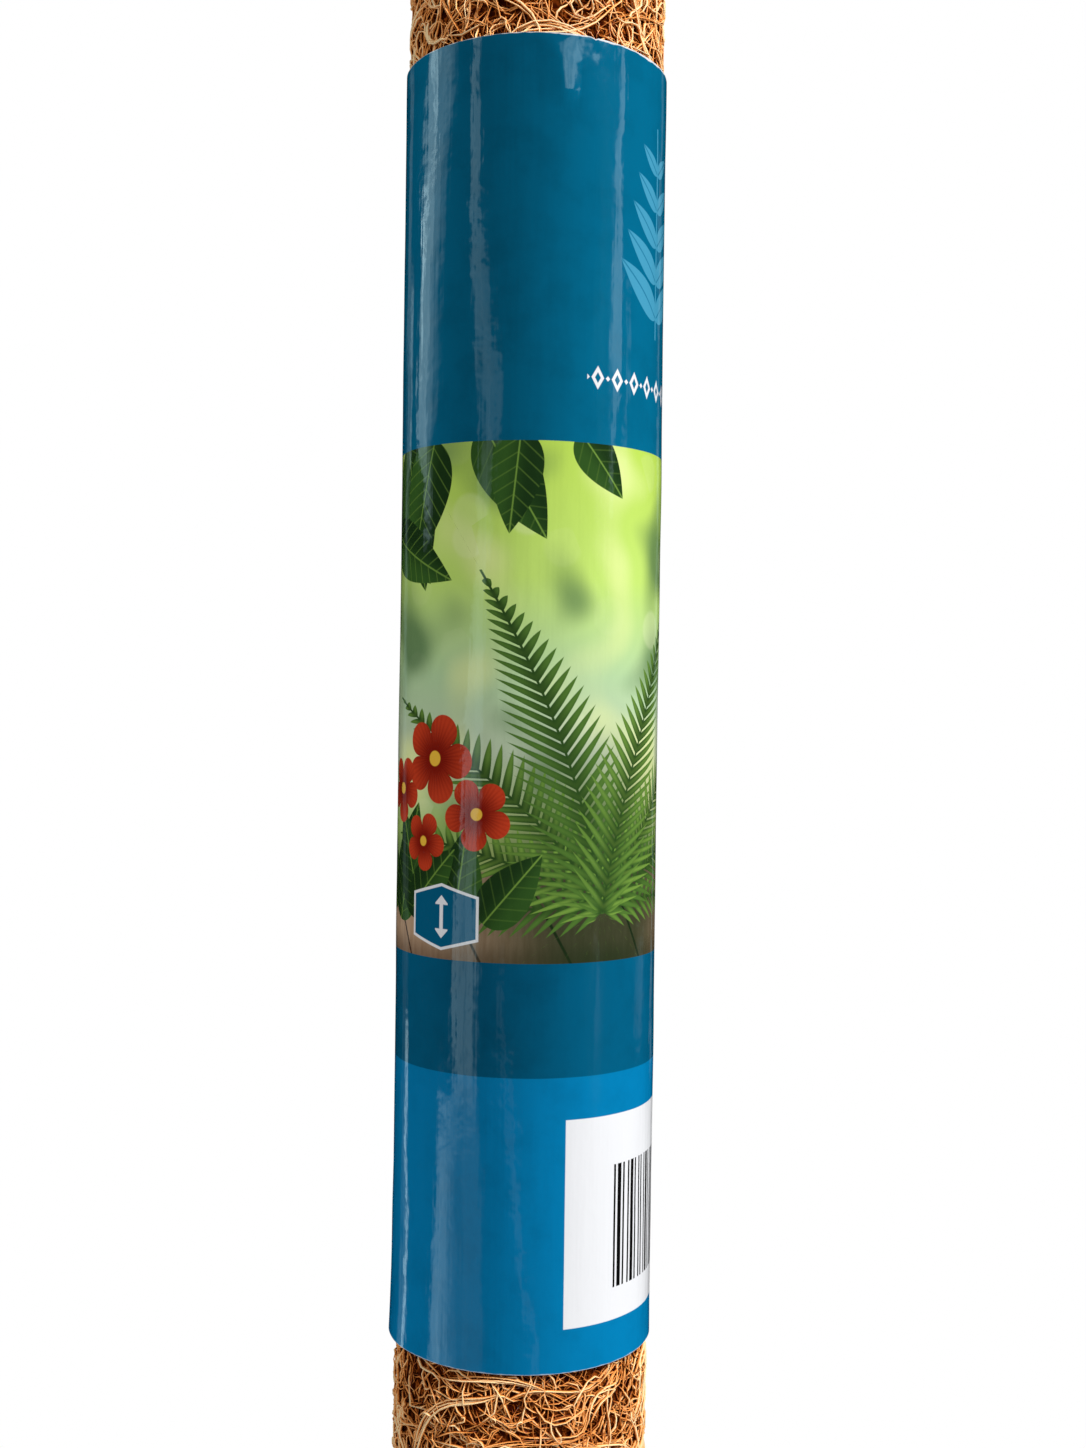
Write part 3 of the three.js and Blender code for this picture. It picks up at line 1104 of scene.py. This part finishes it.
# The picture's plants in millimetres from the front centre of its lower edge, with angles in degrees from
# straight up. Fern: angle, length, bend. Bough and bush: left, rise, angle, length, width. Blossoms: left,
# rise, radius, turn.
FERN_ROOT = (15.0, 9.0)
FERN = ((-78, 34, 0.010), (72, 30, -0.012), (-54, 46, 0.008), (50, 44, -0.010), (-31, 58, 0.006),
        (28, 52, -0.008), (-10, 66, 0.003), (9, 60, -0.004))
BOUGH = ((-38, 90, 140, 27, 6.5), (-30, 97, 165, 30, 7.5), (-20, 96, 196, 25, 6.5), (-9, 98, 150, 24, 6.0),
         (-2, 97, 186, 19, 5.0), (-37, 80, 115, 24, 5.5), (9, 97, 140, 15, 4.2))
BUSH = ((-34, 8, -30, 20, 5.5), (-31, 6, 18, 24, 6.0), (-22, 7, -22, 22, 5.5), (-14, 6, 8, 19, 5.0),
        (-8, 7, 40, 17, 4.8), (-25, 9, 44, 16, 4.6))
BLOSSOMS = ((-19, 37, 8.5, 10), (-30.5, 31, 6.5, 40), (-9.5, 27, 6.8, 62), (-22, 21.5, 5.6, 25))
LEAF_EDGE = 0.16
VEIN_PITCH = 2.6
LEAFLET_PITCH = 2.3
PETALS = 5

# The blurred garden's colours by share of its height, and the deck below it
GARDEN_LIGHT = (
    (0.0, (0.3, 0.5, 0.06)), (0.26, (0.4, 0.58, 0.16)), (0.4, (0.5, 0.6, 0.42)),
    (0.55, (0.46, 0.66, 0.36)), (0.74, (0.55, 0.78, 0.17)), (1.0, (0.5, 0.72, 0.1)))
DECK_TOP = 16.5
BOARD_WIDTH = 17.0
BOARD_SLANT = 0.55


def blade(graph, x, y, base, angle, length, width, bend=0.0):
    """Coordinates of a leaf: along it, distance from its midrib with a sign, and its half width there.

    The midrib is a parabola, and the half width is sqrt(share) * (1 - share) * 2.6 * width, which comes to
    the width where it is greatest.
    """
    along, across = graph.turned(x, y, base, math.radians(angle))
    if bend:
        across = (along * along).scaled(bend, across)
    share = graph.remap(along, 0.0, length, smooth=False)
    return along, across, graph.math("SQRT", share) * share.scaled(-2.6 * width, 2.6 * width)


def stripe(graph, along, away, slant, pitch):
    """0 to 0.5 across each of the bands that run off a midrib at a slant, one to a pitch."""
    return abs(graph.math("FRACT", away.scaled(-slant / pitch, along / pitch)) - 0.5)


def broad_leaf(graph, colour, x, y, place, light):
    """One broad leaf with a lighter half, a pale midrib and side veins, laid over a colour."""
    left, rise, angle, length, width = place
    along, across, half = blade(graph, x, y, (left, rise), angle, length, width)
    away = abs(across)
    vein = graph.below(stripe(graph, along, away, 0.75, VEIN_PITCH), 0.05, 0.06)
    sun = graph.remap(across, -0.5 * width, 0.6 * width, 0.15, 0.75 + 0.25 * light)
    fill = graph.mix(sun, LEAF_SHADE, LEAF_GREEN)
    fill = graph.mix(vein * (0.22 + 0.3 * light), fill, LEAF_LIGHT)
    fill = graph.mix(graph.below(away, 0.14, 0.12), fill, LEAF_LIGHT)
    return graph.mix(graph.remap(half - away, 0.0, LEAF_EDGE), colour, fill)


def frond(graph, colour, x, y, root, place, light):
    """One feathered frond: narrow leaflets in pairs along a curved stem, laid over a colour."""
    angle, length, bend = place
    along, across, half = blade(graph, x, y, root, angle, length, 0.17 * length, bend)
    away = abs(across)
    tip = away / graph.most(half, 0.01)
    band = stripe(graph, along, away, 0.8, LEAFLET_PITCH)
    leaflet = graph.remap((tip * tip).scaled(-0.44, 0.44) - band, 0.0, LEAF_EDGE / 2)
    stem = graph.below(away, 0.26, 0.1) * graph.between(along, 0.0, length)
    fill = graph.mix(graph.remap(band, 0.0, 0.4, 0.3 + 0.7 * light, 0.1), LEAF_GREEN, LEAF_LIGHT)
    fill = graph.mix(graph.remap(tip, 0.5, 0.0, 0.0, 0.6), fill, LEAF_SHADE)
    return graph.mix(graph.most(leaflet, stem), colour, fill)


def blossom(graph, colour, x, y, place):
    """A blossom with five petals, darker towards the gaps between them, laid over a colour."""
    left, rise, radius, turn = place
    distance, angle = graph.polar(x, y, (left, rise))
    wave = graph.math("COSINE", angle.scaled(PETALS / 2, math.radians(turn)))
    petal = graph.math("POWER", abs(wave), 0.45)
    rim = petal.scaled(0.52 * radius, 0.48 * radius)
    streak = graph.math("SINE", angle * 45.0) * 0.12
    shade = graph.remap(distance / rim, 0.15, 0.95) + streak
    fill = graph.mix(shade * petal, BLOSSOM_SHADE, BLOSSOM_RED)
    fill = graph.mix(graph.below(distance, 0.17 * radius, 0.12), fill, POLLEN)
    return graph.mix(graph.below(distance - rim, 0.0, 0.1), colour, fill)


def garden_blur(graph, x, y, tall):
    """Out-of-focus greenery: a ramp up the picture, dark and sunny clouds and faint round spots of light."""
    spot = graph.flat(x, y)
    colour = graph.ramp(y / tall, GARDEN_LIGHT)
    cloud = graph.noise(spot, 0.042, 1.0)
    colour = graph.mix(graph.remap(cloud, 0.5, 0.68, 0.0, 0.85), colour, (0.09, 0.19, 0.075))
    colour = graph.mix(graph.remap(cloud, 0.48, 0.3, 0.0, 0.8), colour, (0.85, 0.93, 0.4))
    inputs = {"Vector": spot, "Scale": 0.1}
    cells = graph.node("ShaderNodeTexVoronoi", inputs, voronoi_dimensions="2D").outputs
    lit = graph.signal("ShaderNodeSeparateColor", 0, {0: Signal(graph, cells["Color"])})
    disc = graph.below(Signal(graph, cells["Distance"]), 0.36, 0.05)
    return graph.mix(disc * graph.remap(lit, 0.4, 1.0, 0.0, 0.22), colour, (0.9, 0.95, 0.6))


def deck(graph, x, y):
    """Boards seen at a slant: a warm grain with dark lines between the boards."""
    grain = graph.noise(graph.stretched(graph.flat(x, y), (0.9, 0.12, 1.0)), 1.0, 3.0)
    colour = graph.mix(grain, (0.3, 0.17, 0.09), (0.66, 0.47, 0.31))
    board = graph.math("FRACT", y.scaled(BOARD_SLANT, x) / BOARD_WIDTH)
    colour = graph.mix(graph.between(board, 0.48, 0.515, 0.01), colour, (0.05, 0.025, 0.015))
    return graph.mix(graph.remap(y, 5.0, 0.0, 0.0, 0.6), colour, (0.07, 0.035, 0.02))


def garden_picture(graph, x, y, tall, period):
    """The picture band: a blurred garden over a deck, with a fern, a hanging bough and a blossoming bush.

    The plants repeat every period round the sleeve, while the blurred garden doesn't.
    """
    colour = garden_blur(graph, x, y, tall)
    colour = graph.mix(graph.below(y, DECK_TOP, 0.25), colour, deck(graph, x, y))
    x = graph.math("WRAP", x, period / 2, -period / 2)
    distance, _ = graph.polar(x, y, FERN_ROOT)
    colour = graph.mix(graph.remap(distance, 40.0, 8.0, 0.0, 0.92), colour, LEAF_SHADE)
    for count, place in enumerate(FERN):
        colour = frond(graph, colour, x, y, FERN_ROOT, place, (count % 3) / 2)
    for count, place in enumerate(BOUGH):
        colour = broad_leaf(graph, colour, x, y, place, (count % 3) / 2)
    for count, place in enumerate(BUSH):
        colour = broad_leaf(graph, colour, x, y, place, (count % 2) * 0.6)
    for place in BLOSSOMS:
        colour = blossom(graph, colour, x, y, place)
    return colour


def badge(graph, colour, x, y, centre, ink):
    """A plain six-sided badge with a white edge and an up-and-down arrow."""
    x, y = abs(x - centre[0]), abs(y - centre[1])
    side, point, shoulder = 8.0, 6.2, 4.1
    slant = x.scaled((point - shoulder) / side, y)
    outside = graph.most(x - side, slant - point)
    colour = graph.mix(graph.below(outside, 0.0), colour, PAPER_WHITE)
    colour = graph.mix(graph.below(outside, -0.55), colour, ink)
    head = graph.below(x + y, 4.0) * graph.below(x, 1.5) * graph.remap(y, 2.15, 2.35)
    shaft = graph.below(x, 0.42) * graph.below(y, 2.6)
    return graph.mix(graph.most(head, shaft), colour, PAPER_WHITE)


def sprig(graph, colour, x, y, base, tall, ink):
    """A straight stem with pairs of leaves that shrink towards its tip, in a pale tint of the band."""
    left, bottom = base
    mask = graph.below(abs(x - left), 0.25) * graph.between(y, bottom, bottom + tall)
    for pair in range(5):
        root = (left, bottom + tall * (0.1 + 0.17 * pair))
        for angle in (-52, 52):
            _, across, half = blade(graph, x, y, root, angle, 15 - 1.9 * pair, 2.7 - 0.3 * pair)
            away = abs(across)
            leaf = graph.remap(half - away, 0.0, LEAF_EDGE) * graph.remap(away, 0.1, 0.22, 0.35, 1.0)
            mask = graph.most(mask, leaf)
    return graph.mix(mask * 0.85, colour, ink)


def lozenges(graph, colour, x, y, start, end, level):
    """A row of white lozenges and dots."""
    pitch = 4.4
    along = abs((graph.math("FRACT", (x - start) / pitch) - 0.5) * pitch)
    rise = abs(y - level)
    away = rise.scaled(0.62, along)
    lozenge = graph.below(away, 1.35) - graph.below(away, 0.62)
    dot = graph.below((pitch / 2 - along) + rise, 0.5)
    mask = graph.most(lozenge, dot) * graph.between(x, start, end)
    return graph.mix(mask, colour, PAPER_WHITE)


def stripe_panel(graph, colour, x, y, left, right, bottom, top):
    """A white panel with a patch of upright bars, which spell nothing.

    A bar's module is dark where the fraction of its number times an irrational step is over a half.
    """
    panel = graph.between(x, left, right) * graph.between(y, bottom, top)
    colour = graph.mix(panel, colour, PAPER_WHITE)
    start, end, low, high = left + 9.7, right - 9.0, bottom + 6.0, bottom + 29.0
    module, step = 0.5, 0.381966
    index = graph.math("FLOOR", (x - start) / module)
    bars = graph.math("GREATER_THAN", graph.math("FRACT", index * step), 0.5)
    patch = graph.between(x, start, end, 0.01) * graph.between(y, low, high)
    return graph.mix(bars * patch, colour, INK_BLACK)


def print_colour(graph, settings, x, y):
    """The whole print, from the lighter blue band at the bottom to the top band, x and y in millimetres.

    The inks are darker at the front by a painted shade, a bell a little left of the front centre, and by a
    faint mottle.
    """
    dark_base = settings.light_band / MM
    picture_base = dark_base + settings.dark_band / MM
    tall = settings.picture / MM
    period = SHEET_WIDTH / 2
    # front is the bell of painted shade at the front, repeated every period round the sleeve
    front = (graph.math("WRAP", x, period / 2, -period / 2) - FRONT_SHADE_CENTRE) / FRONT_SHADE_WIDTH
    front = graph.math("EXPONENT", front * front * -1.0)
    mottle = graph.remap(graph.noise(graph.flat(x, y), 0.11, 5.0, 0.62), 0.42, 0.7, 0.0, 0.1)
    front_shade_and_mottle = front.scaled(DARK_BAND_SHADE, mottle)

    def stacked(edge, under, over):
        return graph.mix(graph.remap(y, edge - BAND_BLUR, edge + BAND_BLUR), under, over)

    light = graph.mix(front.scaled(LIGHT_BAND_SHADE, mottle), settings.light_colour, SHADOW)
    low = stacked(dark_base, light, graph.mix(front_shade_and_mottle, settings.dark_colour, SHADOW))
    low = stripe_panel(graph, low, x, y, **STRIPE_PANEL)
    rise = y - picture_base
    picture = garden_picture(graph, x, rise, tall, period)
    picture = badge(graph, picture, x, rise, BADGE_CENTRE, settings.dark_colour)
    high = sprig(graph, graph.mix(front_shade_and_mottle, settings.top_colour, SHADOW), x, y, **SPRIG)
    high = lozenges(graph, high, x, y, **LOZENGE_ROW)
    return stacked(picture_base + tall, stacked(picture_base, low, picture), high)


def worn_edges(graph, colour, x, y):
    """White board that shows along the two cut edges, in a line of uneven width."""
    uneven = graph.noise(graph.flat(x, y), 0.35, 3.0)
    top = uneven.scaled(graph.remap(x, -16.0, 14.0, 0.4, 0.85), y - SHEET_HEIGHT)
    colour = graph.mix(graph.remap(top, 0.1, 0.24, 0.0, 0.95), colour, PAPER_WHITE)
    bottom = uneven * 0.5 - y
    return graph.mix(graph.remap(bottom, 0.08, 0.2, 0.0, 0.5), colour, PAPER_WHITE)


def print_finish(settings):
    """Gloss print: inks in the sheet's own millimetres, under a clear film that is not quite flat."""
    graph = Graph("sleeve_print")
    uv = graph.signal("ShaderNodeUVMap", 0, uv_map="UVMap")
    sheet = graph.node("ShaderNodeSeparateXYZ", {0: uv}).outputs
    x = Signal(graph, sheet["X"]).scaled(SHEET_WIDTH, -SHEET_WIDTH / 2)
    y = Signal(graph, sheet["Y"]) * SHEET_HEIGHT
    place = graph.place()
    ripple = graph.noise(graph.stretched(place, (1.0, 1.0, 0.8)), 290.0, 2.0)
    drawn = graph.noise(graph.stretched(place, (1.0, 1.0, 0.05)), 480.0, 2.0)
    graph.bump(drawn.scaled(0.9, ripple), 1.0, 0.08 * MM)
    colour = worn_edges(graph, print_colour(graph, settings, x, y), x, y)
    return graph.finish(colour, 0.08, specular_ior_level=0.5)


def card_finish():
    """Bare white card at the cut edges and on the inside of the sleeve."""
    graph = Graph("sleeve_card")
    fibre = graph.noise(graph.place(), 1500.0, 3.0)
    return graph.finish(graph.mix(fibre, (0.78, 0.77, 0.74), (0.9, 0.9, 0.88)), 0.8, specular_ior_level=0.3)


class MOSSPOLE_OT_sleeve(bpy.types.Operator):
    """Wrap the printed sleeve round the joint between the sections"""

    bl_idname = "mosspole.sleeve"
    bl_label = "Printed Sleeve"

    def execute(self, context):
        settings = context.scene.mosspole_sleeve
        dress(sleeve_shell("sleeve_wrap"), "sleeve", [print_finish(settings), card_finish()],
              ["printed_sleeve"])
        return {"FINISHED"}


def camera_pose(settings):
    """Camera's place and axes: it stands before the pole and is turned by yaw, then pitch, then roll."""
    pitch, yaw, roll = settings.pitch, settings.yaw, settings.roll
    ahead = Vector((math.sin(yaw) * math.cos(pitch), math.cos(yaw) * math.cos(pitch), math.sin(pitch)))
    right = Vector((math.cos(yaw), -math.sin(yaw), 0))
    up = right.cross(ahead)
    rolled_right = math.cos(roll) * right + math.sin(roll) * up
    rolled_up = -math.sin(roll) * right + math.cos(roll) * up
    place = Vector((0, -settings.distance, SLEEVE_MIDDLE + settings.height))
    pose = Matrix.Identity(4)
    for column, axis in enumerate((rolled_right, rolled_up, -ahead, place)):
        for row in range(3):
            pose[row][column] = axis[row]
    return pose


SENSOR_WIDTH = 36
CLIP_START = 0.01
FLOOR_DROP = 0.2 * MM
FLOOR_RADIUS = 0.55
FLOOR_RINGS = 24
LIGHT_DISTANCE = 1.6

# Lights: azimuth in degrees, height above the middle of the sleeve, height of the point that it faces, width
# and height in metres, and the pieces that it lights.
SOFTBOXES = {
    "key": (65, 0.3, 0.3, 0.5, 1.6, "smooth"),
    "fill": (-95, 0.2, 0.2, 0.5, 1.6, "smooth"),
    "back": (178, 0.2, 0.2, 0.5, 1.6, "all"),
    "coir_key": (46, 1.5, 0.0, 0.4, 0.4, "coir"),
    "coir_fill": (-50, 1.5, 0.0, 0.4, 0.4, "coir"),
    "coir_shine": (30, 0.7, 0.0, 0.3, 0.3, "coir"),
}


def lit_groups():
    """Two collections for the lights: pieces with a coir finish, and all other pieces and the floor."""
    groups = {name: bpy.data.collections.new(f"{name}_pieces") for name in ("coir", "smooth")}
    for piece in bpy.context.scene.objects:
        if piece.type == "MESH" and piece.data.materials:
            finish = piece.data.materials[0]
            coir = finish is not None and finish.name in COIR_FINISHES
            groups["coir" if coir else "smooth"].objects.link(piece)
    return groups


def softbox(name, power, groups):
    """An area light that faces the pole's axis, which gloss doesn't see unless the name says shine."""
    azimuth, height, aim, width, tall, group = SOFTBOXES[name]
    data = bpy.data.lights.new(name, "AREA")
    data.shape = "RECTANGLE"
    data.size = width
    data.size_y = tall
    data.energy = power
    light = bpy.data.objects.new(name, data)
    place = Vector(around(math.radians(azimuth), LIGHT_DISTANCE, SLEEVE_MIDDLE + height))
    facing = (Vector((0, 0, SLEEVE_MIDDLE + aim)) - place).to_track_quat("-Z", "Y").to_matrix().to_4x4()
    light.matrix_world = Matrix.Translation(place) @ facing
    light.visible_camera = False
    light.visible_glossy = name == "coir_shine"
    light.visible_diffuse = name != "coir_shine"
    if group in groups:
        light.light_linking.receiver_collection = groups[group]
    bpy.context.scene.collection.objects.link(light)


# Panels that only reflections see: softness of the left and right edge as a share of the width, and stations
# of height in millimetres above the middle of the sleeve, left and right azimuth in degrees, and strength.
GLOW_PANELS = {
    "left_window": (0.05, 0.55, (
        (560, -102, -66, 2.0), (400, -117, -78, 2.0), (215, -124, -90, 2.0), (190, -112, -93, 1.8),
        (130, -105, -95, 1.6))),
    "left_glint": (0.4, 0.4, (
        (540, -101, -95, 3.5), (440, -101, -95, 2.2), (405, -110, -104, 2.6), (376, -119, -113, 4.0),
        (300, -117, -111, 2.4), (250, -118, -112, 1.2))),
    "left_hair": (0.5, 0.5, ((345, -139, -131, 0.9), (180, -139, -132, 0.9))),
    "left_slit": (0.12, 0.3, (
        (560, -57, -48, 2.0), (390, -59, -48, 1.8), (320, -52, -36, 1.2), (237, -47, -24, 1.05),
        (205, -46, -30, 1.1), (60, -52, -37, 1.5), (-50, -60, -38, 1.65), (-200, -63, -39, 1.7),
        (-260, -64, -40, 1.7), (-300, -68, -38, 1.3), (-345, -80, -32, 0.5), (-500, -83, -28, 0.5),
        (-760, -86, -24, 0.5))),
    "low_window": (0.06, 0.5, (
        (-300, -77, -66, 1.3), (-365, -83, -62, 1.7), (-520, -86, -62, 1.9), (-760, -89, -62, 1.9))),
    "low_left_hair": (0.4, 0.5, (
        (-240, -128, -122, 2.2), (-309, -129, -123, 2.6), (-406, -124, -118, 2.8), (-520, -123, -116, 2.6),
        (-760, -119, -111, 2.6))),
    "back_left_window": (0.5, 0.5, (
        (520, -148, -136, 0.3), (85, -150, -133, 0.3), (-208, -139, -122, 0.15), (-520, -132, -112, 0.4),
        (-760, -126, -104, 0.4))),
    "right_slit": (0.5, 0.1, (
        (540, 75, 81, 3.0), (470, 74, 81, 2.8), (430, 68, 80, 2.8), (379, 73, 80, 2.4), (317, 69, 82, 2.8),
        (217, 70, 76, 1.8), (140, 72, 77, 1.2))),
    "crease_window": (0.4, 0.3, ((900, 18, 72, 3.2), (512, 18, 72, 3.2))),
    "right_hair": (0.4, 0.4, ((330, 86, 89, 1.0), (190, 86, 91, 1.0))),
    "back_right_window": (0.4, 0.4, ((530, 139, 147, 0.25), (190, 142, 151, 0.4), (-300, 146, 154, 0.3))),
    "slant_slit": (0.5, 0.4, (
        (-190, -26, -18, 0.5), (-255, -25, -17, 0.4), (-337, -12, -3, 0.6), (-426, -5, 4, 0.6),
        (-500, 7, 13, 0.6), (-600, 12, 17, 0.5))),
    "low_right_window": (0.5, 0.5, ((-170, 105, 131, 0.3), (-270, 112, 127, 0.4))),
    "low_right_slit": (0.5, 0.5, ((-180, 60, 71, 0.5), (-275, 65, 69, 0.5))),
}
PANEL_DISTANCE = 1.0
PANEL_STEP = 2 * MM
PANEL_ROWS = 90
PANEL_COLUMNS = 49
PANEL_FADE = 25
PANEL_WOBBLE = 0.8
PANEL_COLOUR = (0.68, 0.95, 1.0, 1.0)


def glow_panel(name, distance, soft_left, soft_right, stations):
    """A clear panel on a cylinder about the pole, which glows for reflections alone.

    Its two edges run straight from station to station with a slight wobble. Its glow falls off smoothly over
    the soft shares of its width and over its two ends, and upright streaks run through it: a product of two
    sine waves across the panel.
    """
    level, left, right, strength = np.asarray(stations[::-1], dtype=float).T
    height = np.linspace(level[0], level[-1], PANEL_ROWS)
    wobble = np.sin(height / 17) + 0.7 * np.sin(height / 7.3 + 1)
    left = np.interp(height, level, left) + PANEL_WOBBLE * wobble
    right = np.interp(height, level, right) + PANEL_WOBBLE * np.roll(wobble, 7)
    share = np.linspace(0, 1, PANEL_COLUMNS)
    azimuth = np.radians(left[:, None] + (right - left)[:, None] * share)
    points = around(azimuth, distance, SLEEVE_MIDDLE + height[:, None] * MM)
    ends = smooth_step(height, level[0], level[0] + PANEL_FADE)
    ends = ends * smooth_step(-height, -level[-1], PANEL_FADE - level[-1])
    glow = (ends * np.interp(height, level, strength))[:, None]
    glow = glow * smooth_step(share, 0, soft_left) * smooth_step(1 - share, 0, soft_right)
    glow = glow * (0.78 + 0.3 * np.sin(21 * share + height[:, None] / 130) * np.sin(8 * share + 1))
    panel = new_object(name, points, grid_quads(*azimuth.shape), values={"glow": glow})
    graph = Graph(name)
    light = graph.signal("ShaderNodeEmission", 0, {"Color": PANEL_COLOUR, "Strength": graph.value("glow")})
    clear = graph.signal("ShaderNodeBsdfTransparent", 0)
    both = graph.signal("ShaderNodeAddShader", 0, {0: light, 1: clear})
    graph.feed(graph.tree.nodes["Material Output"].inputs["Surface"], both)
    graph.material.cycles.emission_sampling = "NONE"
    panel.data.materials.append(graph.material)
    panel.visible_camera = False
    panel.visible_diffuse = False
    panel.visible_shadow = False


def studio_floor(name, level, radius):
    """A round floor under the stake's point: rings whose glow grows to white at the rim."""
    columns = RING_COLUMNS
    share = np.linspace(0, 1, FLOOR_RINGS + 1)[1:]
    rings = around(full_turn(columns)[None, :], radius * share[:, None], level).reshape(-1, 3)
    points = np.concatenate([rings, [[0, 0, level]]])
    column = np.arange(columns)
    fan = np.stack([column, (column + 1) % columns, np.full(columns, len(rings))], axis=-1)
    glow = np.concatenate([np.repeat(smooth_step(share, 0.3, 1.0), columns), [0]])
    floor = new_object(name, points, grid_quads(len(share), columns, close_columns=True)[:, ::-1], fan,
                       values={"glow": glow})
    graph = Graph(name)
    spread = graph.noise(graph.place(), 60.0, 3.0)
    colour = graph.mix(spread, (0.84, 0.84, 0.83), (0.88, 0.88, 0.87))
    rim = graph.value("glow")
    graph.finish(graph.mix(rim, colour, SHADOW), 0.9,
                 emission_color=(1.0, 1.0, 1.0, 1.0), emission_strength=rim)
    graph.material.cycles.emission_sampling = "NONE"
    floor.data.materials.append(graph.material)
    floor.visible_glossy = False


class MOSSPOLE_OT_stage(bpy.types.Operator):
    """Set up the camera, the soft studio light and the pale floor"""

    bl_idname = "mosspole.stage"
    bl_label = "Stage"

    def execute(self, context):
        settings = context.scene.mosspole_stage
        scene = context.scene
        data = bpy.data.cameras.new("camera")
        data.sensor_width = SENSOR_WIDTH
        data.lens = settings.focal_length
        data.clip_start = CLIP_START
        camera = bpy.data.objects.new("camera", data)
        scene.collection.objects.link(camera)
        camera.matrix_world = camera_pose(settings)
        scene.camera = camera
        scene.view_settings.view_transform = "Standard"
        for count, (name, shape) in enumerate(GLOW_PANELS.items()):
            glow_panel(name, PANEL_DISTANCE + count * PANEL_STEP, *shape)
        studio_floor("floor", CAD_BOX[0][2] - FLOOR_DROP, FLOOR_RADIUS)
        groups = lit_groups()
        for name in SOFTBOXES:
            softbox(name, getattr(settings, f"{name}_power"), groups)
        world = bpy.data.worlds.new("studio")
        scene.world = world
        world.use_nodes = True
        tree = world.node_tree
        ray = tree.nodes.new("ShaderNodeLightPath")
        back = tree.nodes["Background"]
        back.inputs["Color"].default_value = (1, 1, 1, 1)
        ambient = tree.nodes.new("ShaderNodeMath")
        ambient.operation = "MULTIPLY_ADD"
        tree.links.new(ray.outputs["Is Diffuse Ray"], ambient.inputs[0])
        ambient.inputs[1].default_value = settings.ambient
        tree.links.new(ray.outputs["Is Camera Ray"], ambient.inputs[2])
        tree.links.new(ambient.outputs[0], back.inputs["Strength"])
        return {"FINISHED"}


class MOSSPOLE_PT_panel(bpy.types.Panel):
    """Sizes, colours and steps of the moss pole"""

    bl_label = "Moss Pole"
    bl_space_type = "VIEW_3D"
    bl_region_type = "UI"
    bl_category = "Moss Pole"

    def draw(self, context):
        for key, group in SETTINGS.items():
            for name in group.__annotations__:
                self.layout.prop(getattr(context.scene, key), name)
        for operator in OPERATORS:
            self.layout.operator(operator.bl_idname)


OPERATORS = (
    MOSSPOLE_OT_coir_mats,
    MOSSPOLE_OT_coir_fillers,
    MOSSPOLE_OT_core_tubes,
    MOSSPOLE_OT_stakes,
    MOSSPOLE_OT_stop_pins,
    MOSSPOLE_OT_sleeve,
    MOSSPOLE_OT_stage,
)
SETTINGS = {"mosspole_coir": CoirSettings, "mosspole_sleeve": SleeveSettings, "mosspole_stage": StageSettings}


def register():
    for made in (*SETTINGS.values(), *OPERATORS, MOSSPOLE_PT_panel):
        bpy.utils.register_class(made)
    for key, group in SETTINGS.items():
        setattr(bpy.types.Scene, key, PointerProperty(type=group))


def unregister():
    for key in SETTINGS:
        delattr(bpy.types.Scene, key)
    for made in reversed((*SETTINGS.values(), *OPERATORS, MOSSPOLE_PT_panel)):
        bpy.utils.unregister_class(made)


def main():
    register()
    bpy.ops.mosspole.coir_mats()
    bpy.ops.mosspole.coir_fillers()
    bpy.ops.mosspole.core_tubes()
    bpy.ops.mosspole.stakes()
    bpy.ops.mosspole.stop_pins()
    bpy.ops.mosspole.sleeve()
    bpy.ops.mosspole.stage()


if __name__ == "__main__":
    main()
